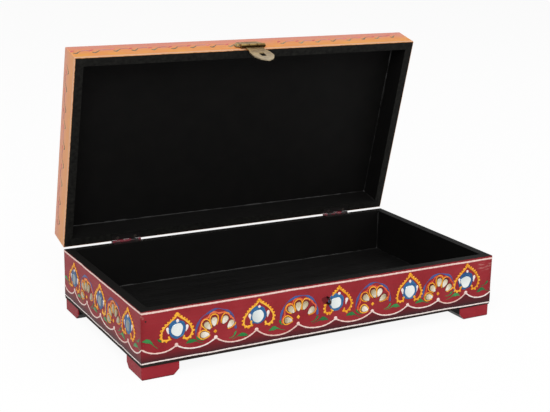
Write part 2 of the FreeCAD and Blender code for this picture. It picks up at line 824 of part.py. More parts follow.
os.makedirs("parts", exist_ok=True)
for piece in nodes:
    piece.Shape.exportStep(os.path.join("parts", f"{piece.Label}.step"))
    print(f"{piece.Label}: {len(piece.Shape.Solids)} solid(s), {piece.Shape.Volume:.1f} mm3")
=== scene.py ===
"""Looks of a painted wooden jewellery box: raised paint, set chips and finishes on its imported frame."""
import json
import logging
import math
from collections.abc import Callable, Mapping, Sequence
from dataclasses import dataclass, field, replace
from enum import Enum
from typing import Any, Optional, Union

import bpy
import numpy as np
from mathutils import Matrix, Vector


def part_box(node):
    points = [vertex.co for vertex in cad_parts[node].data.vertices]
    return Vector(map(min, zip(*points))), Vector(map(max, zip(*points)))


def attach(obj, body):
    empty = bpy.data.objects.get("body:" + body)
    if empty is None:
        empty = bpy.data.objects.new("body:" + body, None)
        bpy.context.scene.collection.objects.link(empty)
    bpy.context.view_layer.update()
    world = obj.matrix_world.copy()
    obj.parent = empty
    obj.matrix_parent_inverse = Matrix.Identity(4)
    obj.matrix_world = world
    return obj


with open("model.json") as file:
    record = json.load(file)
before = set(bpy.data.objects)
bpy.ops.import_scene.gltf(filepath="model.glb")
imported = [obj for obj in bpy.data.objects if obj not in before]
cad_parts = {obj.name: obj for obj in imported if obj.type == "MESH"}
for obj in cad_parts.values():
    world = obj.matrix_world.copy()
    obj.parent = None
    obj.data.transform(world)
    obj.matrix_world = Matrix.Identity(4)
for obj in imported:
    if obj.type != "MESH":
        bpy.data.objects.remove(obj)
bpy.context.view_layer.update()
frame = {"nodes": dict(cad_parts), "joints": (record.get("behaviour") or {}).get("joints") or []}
log = logging.getLogger("jewellery_box")

MM = 0.001
# How far the foot of raised paint lies under the face that carries it, in millimetres
SUNK = 0.03
# Length of one step along a line of paint, in millimetres
STEP = 0.4
Points = np.ndarray
Pair = tuple[float, float]
Triple = tuple[float, float, float]
Corners = Union[Points, Sequence[Pair]]


class Body(Enum):
    """Bodies of the box that a new piece can ride on."""

    BASE = "base"
    LID = "lid"


class Coat(Enum):
    """Kinds of raised work on the painted faces."""

    GOLD = "gold_piping"
    BLUE = "blue_paint"
    GLAZE = "thin_blue_arches"
    WHITE = "white_lines"
    ORANGE = "orange_piping"
    GREEN = "green_leaves"
    PEARL = "pearl_drops"
    MIRROR = "mirror_chips"
    # Dark glaze, also laid as painted shade under the pearl drops
    SHADE = "dark_glaze"
    PINK = "pink_buds"
    VINE = "mauve_vine"
    TICK = "olive_stalks"


def linear(colour: str) -> tuple[float, float, float, float]:
    """Turn an sRGB hex value into linear light.

    Args:
        colour: six hex digits after a hash sign.

    Returns:
        Red, green and blue as linear shares, and an alpha of 1.
    """
    shares = [int(colour[place:place + 2], 16) / 255 for place in (1, 3, 5)]
    bent = [share / 12.92 if share <= 0.04045 else ((share + 0.055) / 1.055) ** 2.4 for share in shares]
    return bent[0], bent[1], bent[2], 1.0


def mm(*sizes: float) -> tuple[float, ...]:
    """Turn sizes in millimetres to metres."""
    return tuple(size * MM for size in sizes)


# Shapes

@dataclass
class Shell:
    """A closed surface: points as (across, up, height) in millimetres, with its faces."""

    points: Points
    quads: Points
    triangles: Points


def close_rings(rings: Points, looped: bool = False) -> Shell:
    """Skin rows of ring points into a closed surface.

    Formula: point (i, k) is point k of ring i, and a face joins it to (i, k+1), (i+1, k+1) and (i+1, k),
    with k running round. Unless the rows loop, a pole at the mean of the first and the last ring closes it.

    Args:
        rings: array of shape (rows, ring points, 3); each ring runs clockwise seen along the rows.
        looped: whether the last row joins the first.

    Returns:
        The closed surface.
    """
    rows, count, _ = rings.shape
    index = np.arange(rows * count).reshape(rows, count)
    here = index if looped else index[:-1]
    after = np.roll(index, -1, axis=0) if looped else index[1:]
    quads = np.stack((here, np.roll(here, -1, 1), np.roll(after, -1, 1), after), -1).reshape(-1, 4)
    points = rings.reshape(-1, 3)
    if looped:
        return Shell(points, quads, np.empty((0, 3), int))
    ring = np.arange(count)
    beside = np.roll(ring, -1)
    last = (rows - 1) * count
    start = np.stack((np.full(count, rows * count), beside, ring), -1)
    end = np.stack((np.full(count, rows * count + 1), last + ring, last + beside), -1)
    return Shell(np.vstack((points, rings[[0, -1]].mean(axis=1))), quads, np.vstack((start, end)))


def lengths(path: Points) -> Points:
    """Distance along a path up to each of its points."""
    return np.concatenate(([0.0], np.cumsum(np.hypot(*np.diff(path, axis=0).T))))


def smooth_path(corners: Points, looped: bool = False) -> Points:
    """Carry a smooth line through corner points.

    Formula: between two corners the line is the Catmull-Rom cubic of the four corners around that stretch;
    it is then cut into equal steps along its length.

    Args:
        corners: array of shape (corners, 2), in millimetres.
        looped: whether the line runs back to its start.

    Returns:
        Points along the line, shape (points, 2).
    """
    if looped:
        before, here, after, far = (np.roll(corners, shift, 0) for shift in (1, 0, -1, -2))
    else:
        padded = np.vstack((2 * corners[0] - corners[1], corners, 2 * corners[-1] - corners[-2]))
        before, here, after, far = padded[:-3], padded[1:-2], padded[2:-1], padded[3:]
    t = np.linspace(0, 1, 12, endpoint=False)[:, None, None]
    cubic = 2 * here + (after - before) * t + (2 * before - 5 * here + 4 * after - far) * t**2
    dense = 0.5 * (cubic + (3 * here - before - 3 * after + far) * t**3)
    dense = dense.transpose(1, 0, 2).reshape(-1, 2)
    dense = np.vstack((dense, corners[:1] if looped else corners[-1:]))
    length = lengths(dense)
    at = np.linspace(0, length[-1], max(5, int(round(length[-1] / STEP))) + 1)
    even = np.stack([np.interp(at, length, dense[:, axis]) for axis in (0, 1)], 1)
    return even[:-1] if looped else even


def sideways(path: Points, looped: bool = False) -> Points:
    """Unit vectors to the left of a path at each of its points.

    Args:
        path: points along the path, shape (points, 2).
        looped: whether the path runs back to its start.

    Returns:
        Array of the same shape.
    """
    ahead = np.roll(path, -1, 0) - np.roll(path, 1, 0) if looped else np.gradient(path, axis=0)
    ahead = ahead / np.linalg.norm(ahead, axis=1, keepdims=True)
    return np.stack((-ahead[:, 1], ahead[:, 0]), 1)


def stroke(path: Points, half: Points, height: Points, looped: bool = False) -> Shell:
    """Lay a rounded bead of paint along a path.

    Formula: across the path at each of its points stands half an ellipse, as wide and as high as given there.

    Args:
        path: points along the path, shape (points, 2).
        half: half the width at each point.
        height: the height at each point.
        looped: whether the path runs back to its start.

    Returns:
        The bead as a closed surface.
    """
    turn = np.linspace(0, math.pi, 7)
    reach = half[:, None] * np.cos(turn)
    flat = path[:, None, :] + sideways(path, looped)[:, None, :] * reach[:, :, None]
    tall = height[:, None] * np.sin(turn) - SUNK
    return close_rings(np.concatenate((flat, tall[:, :, None]), 2), looped)


def pebble(outline: Points, crown: Sequence[Pair], lean: Pair = (0.0, 0.0)) -> Shell:
    """Raise a blob over an outline.

    Formula: ring i is the outline drawn in towards its middle by crown[i][0], at height crown[i][1], and the
    top leans by the given rise per millimetre across and up.

    Args:
        outline: points round the blob, anticlockwise, shape (points, 2).
        crown: share of the outline and height in millimetres of each ring, from the foot to the top.
        lean: slope of the top across and up.

    Returns:
        The blob as a closed surface.
    """
    middle = outline.mean(axis=0)
    shares, heights = np.array(crown).T
    flat = middle + (outline - middle) * shares[:, None, None]
    tall = heights[:, None] + (flat - middle) @ np.array(lean)
    tall[0] = -SUNK
    return close_rings(np.concatenate((flat, tall[:, :, None]), 2))


def film(lower: Points, upper: Points, height: float) -> Shell:
    """A thin coat of paint between two lines that run side by side.

    Formula: at each step along the lines a flat rectangle reaches from the lower to the upper line, with two
    more points just inside its upper corners, so that its top is shaded flat.

    Args:
        lower: points of the lower line, shape (points, 2).
        upper: points of the upper line, as many.
        height: thickness in millimetres.

    Returns:
        The coat as a closed surface.
    """
    foot, top = (np.full((len(lower), 1), level) for level in (-SUNK, height))
    rim = 0.04 * (upper - lower)
    corners = (
        (upper, foot), (upper, top), (upper - rim, top), (lower + rim, top), (lower, top), (lower, foot),
    )
    return close_rings(np.stack([np.hstack(corner) for corner in corners], 1))


def around(angle: Points, reach: Union[float, Points]) -> Points:
    """Points at angles in radians about the origin, that far from it."""
    return np.stack((reach * np.cos(angle), reach * np.sin(angle)), 1)


def blob(width: float, height: float, waves: Sequence[Triple] = (), count: int = 32) -> Points:
    """A rounded outline with soft corners.

    Formula: at angle a the radius is 1 plus the sum of amount*cos(n*(a - turn)) over the waves (n, amount,
    turn in degrees), stretched to the width and the height.

    Args:
        width: full width in millimetres.
        height: full height in millimetres.
        waves: number, amount and turn of each wave.
        count: points round the outline.

    Returns:
        Points, shape (count, 2), about the origin.
    """
    angle = np.arange(count) * (2 * math.pi / count)
    swing = sum((amount * np.cos(n * (angle - math.radians(turn))) for n, amount, turn in waves), 0 * angle)
    return around(angle, 1 + swing) * (width / 2, height / 2)


def drop_outline(length: float, width: float, count: int = 28) -> Points:
    """The outline of a drop that points to -x and is full at its +x end.

    Formula: x = length/2*cos(a) and y = width/2*sin(a)*(1 + 0.36*cos(a))/1.06.

    Args:
        length: full length in millimetres.
        width: full width in millimetres.
        count: points round the outline.

    Returns:
        Points, shape (count, 2), about the origin.
    """
    angle = np.arange(count) * (2 * math.pi / count)
    swell = (1 + 0.36 * np.cos(angle)) / 1.06
    return np.stack((length / 2 * np.cos(angle), width / 2 * np.sin(angle) * swell), 1)


def hanging_bow(start: Pair, end: Pair, low: float, count: int) -> Points:
    """A bow that hangs between two cusps.

    Formula: at share t along it the height is the straight line between the cusps, less the middle's sag
    times 1 minus the 2.3th power of |2t - 1|.

    Args:
        start: place and height of the first cusp.
        end: place and height of the second cusp.
        low: height of the lowest point.
        count: points along it.

    Returns:
        Points, shape (count, 2).
    """
    share = np.linspace(0, 1, count)
    line = np.array(start) + np.outer(share, np.subtract(end, start))
    line[:, 1] -= ((start[1] + end[1]) / 2 - low) * (1 - np.abs(2 * share - 1) ** 2.3)
    return line


def dome(height: float) -> list[Pair]:
    """Rings of a round dome of that height."""
    return [(1.0, 0.0), (0.97, 0.3 * height), (0.84, 0.66 * height), (0.55, 0.92 * height), (0.2, height)]


def slab(height: float) -> list[Pair]:
    """Rings of a flat piece with a softened rim."""
    return [(1.0, 0.0), (1.0, 0.6 * height), (0.96, 0.9 * height), (0.88, height), (0.4, height)]


# Where things stand

@dataclass(frozen=True)
class Face:
    """A flat painted face: its origin in millimetres and its ways across, up and out."""

    origin: Triple
    across: Triple
    up: Triple
    out: Triple

    def place(self, points: Points) -> Points:
        """Bring (across, up, height) in millimetres to points in metres."""
        return (np.array(self.origin) + points @ np.array((self.across, self.up, self.out))) * MM


@dataclass(frozen=True)
class Spot:
    """Where a motif stands on its face, how it is turned in degrees, and its size across and up."""

    x: float = 0.0
    y: float = 0.0
    turn: float = 0.0
    wide: float = 1.0
    tall: float = 1.0

    def put(self, points: Corners) -> Points:
        """Size, turn and move points of the motif.

        Args:
            points: points about the motif's own origin.

        Returns:
            Points on the face.
        """
        angle = math.radians(self.turn)
        spin = np.array(((math.cos(angle), math.sin(angle)), (-math.sin(angle), math.cos(angle))))
        return (np.asarray(points, float) * (self.wide, self.tall)) @ spin + (self.x, self.y)


@dataclass(frozen=True)
class Plan:
    """Sizes of the box in millimetres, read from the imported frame."""

    middle_y: float
    half_width: float
    half_depth: float
    foot_top: float
    base_rim: float
    inner_floor: float
    wall: float
    # The lid about its hinge axis, as it lies when shut
    axis: Pair
    open_angle: float
    lid_middle: float
    lid_rim: float
    lid_walls: float = 19.5
    lid_height: float = 22.5
    # Half the size of the red panel on the lid's top
    panel: Pair = (134.0, 64.0)

    @classmethod
    def read(cls) -> "Plan":
        """Read the sizes from the nodes' boxes and the lid's hinge.

        Returns:
            The sizes.
        """
        front = np.array(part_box("base_front_wall")) / MM
        back = np.array(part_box("base_back_wall")) / MM
        panel = np.array(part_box("bottom_panel")) / MM
        hinge = next(joint for joint in frame["joints"] if joint["name"] == "lid_hinge")
        _, axis_y, axis_z = (value / MM for value in hinge["pos_m"])
        half_depth = (back[1, 1] - front[0, 1]) / 2
        return cls(
            middle_y=(front[0, 1] + back[1, 1]) / 2,
            half_width=(front[1, 0] - front[0, 0]) / 2,
            half_depth=half_depth,
            foot_top=front[0, 2],
            base_rim=front[1, 2],
            inner_floor=panel[1, 2],
            wall=front[1, 1] - front[0, 1],
            axis=(axis_y, axis_z),
            open_angle=-hinge["range_deg"][0],
            lid_middle=back[1, 1] - axis_y - half_depth,
            lid_rim=axis_z - front[1, 2],
        )

    def lid_way(self, x: float, y: float, z: float) -> Triple:
        """Turn a direction of the shut lid to where it points with the lid open."""
        angle = math.radians(self.open_angle)
        return x, y * math.cos(angle) + z * math.sin(angle), z * math.cos(angle) - y * math.sin(angle)

    def lid_opened(self, face: Face) -> Face:
        """Bring a face of the shut lid, about the hinge axis, to where it is with the lid open.

        Args:
            face: the face on the shut lid.

        Returns:
            The face on the open lid.
        """
        x, y, z = self.lid_way(*face.origin)
        ways = (self.lid_way(*way) for way in (face.across, face.up, face.out))
        return Face((x, self.axis[0] + y, self.axis[1] + z), *ways)

    def side(self, turn: int, middle_y: float, low: float) -> Face:
        """One upright side of a box of this plan, its origin at the middle of its lower edge.

        Args:
            turn: quarter turns from the front: 1 is the right side, 2 the back, 3 the left side.
            middle_y: middle of the box in y.
            low: height of its lower edge.

        Returns:
            The side.
        """
        angle = turn * math.pi / 2
        across = (round(math.cos(angle)), round(math.sin(angle)), 0)
        out = (across[1], -across[0], 0)
        reach = self.half_depth if turn % 2 == 0 else self.half_width
        return Face((out[0] * reach, middle_y + out[1] * reach, low), across, (0, 0, 1), out)

    def base_face(self, turn: int) -> Face:
        """One outer face of the base, by quarter turns from the front."""
        return self.side(turn, self.middle_y, self.foot_top)

    def lid_face(self, turn: int) -> Face:
        """One outer side of the lid, by quarter turns from the front."""
        return self.lid_opened(self.side(turn, self.lid_middle, self.lid_rim))

    def lid_top(self) -> Face:
        """The lid's upper face, its origin in the middle and its up towards the hinges."""
        origin = (0, self.lid_middle, self.lid_rim + self.lid_height)
        return self.lid_opened(Face(origin, (1, 0, 0), (0, 1, 0), (0, 0, 1)))


# Finishes

# Depths under an outer face between which its paint ends, and how far a painted edge wanders, in millimetres
PAINT_EDGE = (-0.6, -0.42)
WANDER = 0.6
Material = bpy.types.Material
Socket = bpy.types.NodeSocket
Source = Union[float, str, Triple, Socket]
Inputs = Union[Sequence[Source], Mapping[Union[int, str], Source]]


def patches(place: Socket, size: float, detail: float = 3.0) -> dict[str, Source]:
    """What a noise takes to show soft cloudy patches about that many millimetres across."""
    return {"Vector": place, "Scale": 1 / (size * MM), "Detail": detail, "Roughness": 0.55}


class Recipe:
    """A node tree while it is put together."""

    def __init__(self, owner: Union[Material, bpy.types.World]) -> None:
        """Start from an emptied tree.

        Args:
            owner: the material or the world that the tree belongs to.
        """
        owner.use_nodes = True
        self.owner = owner
        self.tree = owner.node_tree
        self.tree.nodes.clear()

    @classmethod
    def paint(cls, name: str) -> tuple["Recipe", Callable[..., Optional[Socket]], Socket]:
        """Start a new material: its recipe, its node function and the object's coordinates in metres."""
        recipe = cls(bpy.data.materials.new(name))
        return recipe, recipe.node, recipe.node("TexCoord", out="Object")

    def node(
        self, kind: str, inputs: Inputs = (), out: Union[int, str] = 0, **settings: Any,
    ) -> Optional[Socket]:
        """Add one node with its settings and links.

        Args:
            kind: the node's type, without the words ShaderNode before it.
            inputs: numbers, hex colours or other nodes' outputs, in the order of the sockets or by name.
            out: number or name of the output to hand on.
            settings: properties of the node.

        Returns:
            That output, if the node has any.
        """
        made = self.tree.nodes.new(f"ShaderNode{kind}")
        for name, setting in settings.items():
            setattr(made, name, setting)
        named = inputs if isinstance(inputs, Mapping) else dict(enumerate(inputs))
        for name, source in named.items():
            if isinstance(source, Socket):
                self.tree.links.new(source, made.inputs[name])
            else:
                made.inputs[name].default_value = linear(source) if isinstance(source, str) else source
        return made.outputs[out] if len(made.outputs) else None

    def lid_place(self, place: Socket, plan: Plan) -> Socket:
        """Turn coordinates back to the shut lid, about the hinge axis.

        Args:
            place: coordinates in metres.
            plan: sizes of the box.

        Returns:
            The turned coordinates.
        """
        turn = (-math.radians(plan.open_angle), 0, 0)
        inputs = {"Vector": place, "Location": (0, *mm(*plan.axis)), "Rotation": turn}
        return self.node("Mapping", inputs, vector_type="TEXTURE")

    def streaks(self, place: Socket, sizes: Triple) -> Socket:
        """Brush streaks, longest along the axis with the largest size.

        Args:
            place: coordinates in metres.
            sizes: size of a streak along each axis in millimetres.

        Returns:
            The streaks as a share around one half.
        """
        scale = tuple(1 / (size * MM) for size in sizes)
        laid = self.node("Mapping", {"Vector": place, "Scale": scale})
        return self.node("TexNoise", {"Vector": laid, "Scale": 1.0, "Detail": 2.0})

    def between(self, value: Socket, low: float, high: float, soft: float) -> Socket:
        """A mask that is 1 where a length lies between two limits.

        Args:
            value: the length in metres.
            low: lower limit in millimetres.
            high: upper limit in millimetres.
            soft: half the width of its soft ends in millimetres.

        Returns:
            The mask.
        """
        up = self.node("MapRange", (value, *mm(low - soft, low + soft)))
        down = self.node("MapRange", (value, *mm(high + soft, high - soft)))
        return self.node("Math", (up, down), operation="MULTIPLY")

    def near_outside(self, place: Socket, middle_y: float, half_x: float, half_y: float) -> list[Socket]:
        """How far a point lies inside the outer walls of a box, in metres, as negative depths.

        Args:
            place: coordinates in metres.
            middle_y: middle of the box in y, in millimetres.
            half_x: half its width, in millimetres.
            half_y: half its depth, in millimetres.

        Returns:
            The depth under the nearest outer face, and the sum of both depths, which is 0 on an upright edge.
        """
        x, y, _ = self.node("SeparateXYZ", (place,)).node.outputs
        y = self.node("Math", (y, middle_y * MM), operation="SUBTRACT")
        deep = []
        for socket, half in ((x, half_x), (y, half_y)):
            far = self.node("Math", (socket,), operation="ABSOLUTE")
            deep.append(self.node("Math", (far, half * MM), operation="SUBTRACT"))
        return [self.node("Math", deep, operation=kind) for kind in ("MAXIMUM", "ADD")]

    def tone_and_rise(self) -> list[Socket]:
        """The tone of a laid shell, and how near a point is to its top, as each point carries them."""
        return [self.node("Attribute", out="Fac", attribute_name=name) for name in ("tone", "rise")]

    def looked_at(self) -> Socket:
        """Tell what is seen from what only lights the box.

        Returns:
            1 for a ray from the camera, a reflection or a refraction, else 0.
        """
        rays = self.node("LightPath").node.outputs
        seen = rays["Is Camera Ray"]
        for kind in ("Is Glossy Ray", "Is Transmission Ray"):
            seen = self.node("Math", (seen, rays[kind]), operation="MAXIMUM")
        return seen

    def coats(self, ground: Source, *layers: tuple[Source, Source]) -> Source:
        """Lay coats of paint over a ground.

        Args:
            ground: colour of the ground.
            layers: mask and colour of each coat, the lowest first.

        Returns:
            The colour that shows.
        """
        for mask, colour in layers:
            ground = self.node("Mix", {0: mask, 6: ground, 7: colour}, 2, data_type="RGBA")
        return ground

    def surface(
        self, colour: Source, roughness: Union[Source, Pair], relief: Socket, depth: float, **fixed: Source,
    ) -> Material:
        """Finish a material with a principled shader and a bump.

        Args:
            colour: base colour.
            roughness: roughness, or two values between which it follows the relief.
            relief: height of the bump as a share.
            depth: full height of the bump in millimetres.
            fixed: further sockets of the shader, with underscores for spaces.

        Returns:
            The material.
        """
        if isinstance(roughness, tuple):
            roughness = self.node("MapRange", (relief, 0, 1, *roughness))
        bump = self.node("Bump", {"Height": relief, "Distance": depth * MM, "Strength": 1.0})
        inputs = {name.replace("_", " "): value for name, value in fixed.items()}
        inputs |= {"Base Color": colour, "Roughness": roughness, "Normal": bump}
        self.node("OutputMaterial", (self.node("BsdfPrincipled", inputs),))
        return self.owner


@dataclass(frozen=True)
class CaseEnamel:
    """Oil enamel brushed on primed wood: red outside, black on the rims and inside."""

    plan: Plan
    name: str = "brushed_red_enamel_on_case"
    # Hand-brushed enamel: a deep red that varies in patches, fine level streaks, darker and scuffed corners
    red: str = "#9B2A31"
    red_dark: str = "#812026"
    red_light: str = "#AE3E44"
    scuff: str = "#C58880"
    maroon: str = "#5A1A1E"
    black: str = "#0A0A0A"
    worn: str = "#131211"
    strip: str = "#2A2320"
    # Height of the red's lower edge over the walls' lower edge, in millimetres
    red_low: float = 2.9

    def scrapes(self, recipe: Recipe, place: Socket) -> Socket:
        """Pale scrapes at the upper right end of the front.

        Args:
            recipe: the material's tree.
            place: coordinates in metres.

        Returns:
            Their mask.
        """
        right, top = self.plan.half_width, self.plan.base_rim
        x, _, z = recipe.node("SeparateXYZ", (place,)).node.outputs
        along = recipe.between(x, right - 16, right - 1, 2)
        upper = recipe.between(z, top - 11, top - 4, 1)
        thin = recipe.node("MapRange", (recipe.streaks(place, (6, 6, 1.1)), 0.52, 0.66, 0, 0.6))
        spot = recipe.node("Math", (along, upper), operation="MULTIPLY")
        return recipe.node("Math", (spot, thin), operation="MULTIPLY")

    def material(self) -> Material:
        """Mix the paint.

        Returns:
            The material.
        """
        recipe, node, place = Recipe.paint(self.name)
        plan = self.plan
        high = node("SeparateXYZ", (place,), "Z")
        deep, edge = recipe.near_outside(place, plan.middle_y, plan.half_width, plan.half_depth)
        # Brush tracks are about 1.5 mm apart and run level round the box
        streaks = recipe.streaks(place, (45, 45, 1.5))
        clouds = node("TexNoise", patches(place, 24))
        ragged = node("TexNoise", patches(place, 3.5))
        limit = node("Math", (ragged, WANDER * MM, high), operation="MULTIPLY_ADD")
        low = plan.foot_top + self.red_low
        shown = recipe.between(limit, low, plan.base_rim + 0.1, 0.12)
        outside = node("MapRange", (deep, *mm(*PAINT_EDGE)))
        painted = node("Math", (outside, shown), operation="MULTIPLY")
        thin = node("MapRange", (streaks, 0.35, 0.7, 0, 0.6))
        corner = node("MapRange", (edge, *mm(-4, -0.4), 0, 0.55))
        rubbed = node("Math", (node("MapRange", (ragged, 0.6, 0.72)), corner), operation="MULTIPLY")
        scrapes = self.scrapes(recipe, place)
        # The black of the rim has been rubbed down over the upper edge of the red
        smear = node("MapRange", (limit, *mm(plan.base_rim - 1.5, plan.base_rim - 0.4), 0, 0.35))
        red = recipe.coats(
            self.red_dark, (clouds, self.red_light), (thin, self.red), (corner, self.red_dark),
            (rubbed, self.scuff), (scrapes, self.scuff), (smear, self.maroon),
        )
        rim = node("MapRange", (high, *mm(plan.base_rim - 0.5, plan.base_rim - 0.2)))
        # Under the lower white line the black is thin and brownish
        under = node("MapRange", (high, *mm(low + 0.3, low - 0.3)))
        colour = recipe.coats(
            self.black, (clouds, self.worn), (rim, self.worn), (under, self.strip), (painted, red),
        )
        # The black is more matt than the red
        dull = node("MapRange", (painted, 0, 1, 0.58, 0.3))
        rough = node("Math", (streaks, 0.2, dull), operation="MULTIPLY_ADD")
        return recipe.surface(colour, rough, streaks, 0.06, Specular_IOR_Level=0.06)


@dataclass(frozen=True)
class FootEnamel:
    """Oil enamel brushed on the block feet: red on the two outer faces, black elsewhere."""

    plan: Plan
    name: str = "brushed_red_enamel_on_feet"
    # Thicker, less even paint than on the case, darker towards the lower edges
    red: str = "#972831"
    red_light: str = "#A5353D"
    dark: str = "#3A1014"
    black: str = "#0D0C0C"
    # How far the feet stand back from the walls, in millimetres
    set_back: float = 0.5

    def material(self) -> Material:
        """Mix the paint.

        Returns:
            The material.
        """
        recipe, node, place = Recipe.paint(self.name)
        plan = self.plan
        high = node("SeparateXYZ", (place,), "Z")
        halves = (plan.half_width - self.set_back, plan.half_depth - self.set_back)
        deep, _ = recipe.near_outside(place, plan.middle_y, *halves)
        clouds = node("TexNoise", patches(place, 9))
        fine = node("TexNoise", patches(place, 1.6))
        outside = node("MapRange", (deep, *mm(-1.1, -0.9)))
        limit = node("Math", (fine, 2.2 * MM, high), operation="MULTIPLY_ADD")
        low = node("MapRange", (limit, *mm(2.6, 1), 0, 0.8))
        red = recipe.coats(self.red, (clouds, self.red_light), (low, self.dark))
        colour = recipe.coats(self.black, (outside, red))
        return recipe.surface(colour, (0.32, 0.58), fine, 0.08, Specular_IOR_Level=0.08)


@dataclass(frozen=True)
class LidEnamel:
    """Thin oil paint washed over the lid: orange and pink sides, a red panel on top, black inside."""

    plan: Plan
    name: str = "washed_orange_paint_on_lid"
    # A mottled wash: orange near the rim turns to pink towards the top, with a pale line along the rim
    orange: str = "#E2904A"
    yellow: str = "#E8A03A"
    pink: str = "#D5847D"
    pale: str = "#DCAC8A"
    # Painted light: the paler wash of the short ends
    painted_light_on_ends: str = "#FFC8A0"
    brown: str = "#B97355"
    red: str = "#992028"
    red_light: str = "#A83138"
    black: str = "#0A0A0A"
    worn: str = "#131211"
    black_rim: str = "#22221F"
    # Heights over the shut lid's hinge axis in millimetres: the pale line along the rim, the brown upper
    # edge, and where orange turns to pink once the clouds have added their own height
    rim_heights: Pair = (0.6, 2.6)
    edge_heights: Pair = (21.9, 30.0)
    pink_heights: Pair = (16.0, 27.5)
    cloud_height: float = 16.0

    def material(self) -> Material:
        """Mix the paint.

        Returns:
            The material.
        """
        recipe, node, place = Recipe.paint(self.name)
        plan = self.plan
        place = recipe.lid_place(place, plan)
        along, _, high = node("SeparateXYZ", (place,)).node.outputs
        deep, _ = recipe.near_outside(place, plan.lid_middle, plan.half_width, plan.half_depth)
        inset, _ = recipe.near_outside(place, plan.lid_middle, *plan.panel)
        streaks = recipe.streaks(place, (38, 38, 1.8))
        clouds = node("TexNoise", patches(place, 13))
        ragged = node("TexNoise", patches(place, 3))
        limit = node("Math", (ragged, WANDER * MM, high), operation="MULTIPLY_ADD")
        rim = node("MapRange", (limit, *mm(plan.lid_rim + 0.15, plan.lid_rim + 0.4)))
        side = node("MapRange", (deep, *mm(*PAINT_EDGE)))
        roof_low = plan.lid_rim + plan.lid_height - 0.5
        roof = node("MapRange", (high, *mm(roof_low - 0.2, roof_low)))
        outer = node("Math", (side, roof), operation="MAXIMUM")
        painted = node("Math", (outer, rim), operation="MULTIPLY")
        glow = node("MapRange", (clouds, 0.45, 0.7, 0, 0.8))
        haze = node("Math", (clouds, self.cloud_height * MM, high), operation="MULTIPLY_ADD")
        pinkish = node("MapRange", (haze, *mm(*self.pink_heights), 0, 0.85))
        top_edge = recipe.between(limit, *self.edge_heights, 0.3)
        # The top's border is the orange again, clouded with pink
        border = recipe.coats(self.orange, (node("MapRange", (clouds, 0.4, 0.65)), self.pink))
        rim_line = recipe.between(limit, *self.rim_heights, 0.3)
        thin = node("MapRange", (streaks, 0.4, 0.75, 0, 0.35))
        # Painted light: the short ends are washed paler, which stands in for the light that falls on them
        far = node("Math", (along,), operation="ABSOLUTE")
        skin = mm(*(plan.half_width + depth for depth in PAINT_EDGE))
        ends = node("MapRange", (far, *skin, 0, 0.3))
        red = recipe.coats(self.red, (clouds, self.red_light))
        panel = node("Math", (node("MapRange", (inset, *mm(0.2, -0.2))), roof), operation="MULTIPLY")
        wash = recipe.coats(
            self.orange, (glow, self.yellow), (pinkish, self.pink), (top_edge, self.brown), (roof, border),
            (rim_line, self.pale), (thin, self.pale), (ends, self.painted_light_on_ends), (panel, red),
        )
        black = recipe.coats(self.black, (clouds, self.worn))
        colour = recipe.coats(self.black_rim, (rim, black), (painted, wash))
        # The black is more matt than the wash
        dull = node("MapRange", (painted, 0, 1, 0.58, 0.32))
        rough = node("Math", (streaks, 0.2, dull), operation="MULTIPLY_ADD")
        return recipe.surface(colour, rough, streaks, 0.06, Specular_IOR_Level=0.08)


@dataclass(frozen=True)
class BlackEnamel:
    """Satin black enamel brushed on bare wood."""

    name: str = "brushed_black_enamel"
    # Satin black with faint brush tracks and slightly greyer worn patches; glossier where it has gathered
    black: str = "#0A0A0A"
    worn: str = "#131211"
    gloss: float = 0.15
    rough: Pair = (0.45, 0.7)

    def material(self) -> Material:
        """Mix the paint.

        Returns:
            The material.
        """
        recipe, node, place = Recipe.paint(self.name)
        streaks = recipe.streaks(place, (60, 2, 60))
        colour = recipe.coats(self.black, (node("TexNoise", patches(place, 30)), self.worn))
        rough = node("MapRange", (streaks, 0.3, 0.7, *self.rough))
        return recipe.surface(colour, rough, streaks, 0.06, Specular_IOR_Level=self.gloss)


@dataclass(frozen=True)
class PipedPaint:
    """Thick poster paint piped from a cone or laid with a small brush."""

    name: str
    # Slightly glossy and uneven: each stroke has its own tone, and thin edges are darker
    dark: str
    middle: str
    light: str

    def material(self) -> Material:
        """Mix the paint.

        Returns:
            The material.
        """
        recipe, node, place = Recipe.paint(self.name)
        tone, rise = recipe.tone_and_rise()
        grain = node("TexNoise", patches(place, 1.4))
        edge = node("MapRange", (rise, 0, 0.6, -0.4, 0.05))
        mixed = node("Math", (grain, 0.5, tone), operation="MULTIPLY_ADD")
        mixed = node("Math", (mixed, edge), operation="ADD")
        middle = node("MapRange", (mixed, 0.3, 0.75))
        light = node("MapRange", (mixed, 0.75, 1.15))
        colour = recipe.coats(self.dark, (middle, self.middle), (light, self.light))
        return recipe.surface(colour, (0.32, 0.5), grain, 0.06, Specular_IOR_Level=0.3)


@dataclass(frozen=True)
class DarkGlaze:
    """A dark brown glaze rubbed over the red under the scalloped line, also laid as painted shade under the
    pearl drops.
    """

    plan: Plan
    name: str = "rubbed_dark_glaze"
    # Warm brown that deepens towards the lower edge and the right end, with level rubbing marks
    upper: str = "#84292F"
    upper_right: str = "#601F26"
    lower: str = "#402528"
    # Heights over the walls' lower edge between which it fades, in millimetres
    fade: Pair = (4.5, 11.8)

    def material(self) -> Material:
        """Mix the glaze.

        Returns:
            The material.
        """
        recipe, node, place = Recipe.paint(self.name)
        plan = self.plan
        along, _, high = node("SeparateXYZ", (place,)).node.outputs
        streaks = recipe.streaks(place, (30, 30, 1.2))
        right = node("MapRange", (along, *mm(-plan.half_width, plan.half_width)))
        limit = node("Math", (streaks, 4 * MM, high), operation="MULTIPLY_ADD")
        fade = node("MapRange", (limit, *mm(*(plan.foot_top + height for height in self.fade))))
        colour = recipe.coats(self.lower, (fade, recipe.coats(self.upper, (right, self.upper_right))))
        return recipe.surface(colour, (0.32, 0.5), streaks, 0.05, Specular_IOR_Level=0.08)


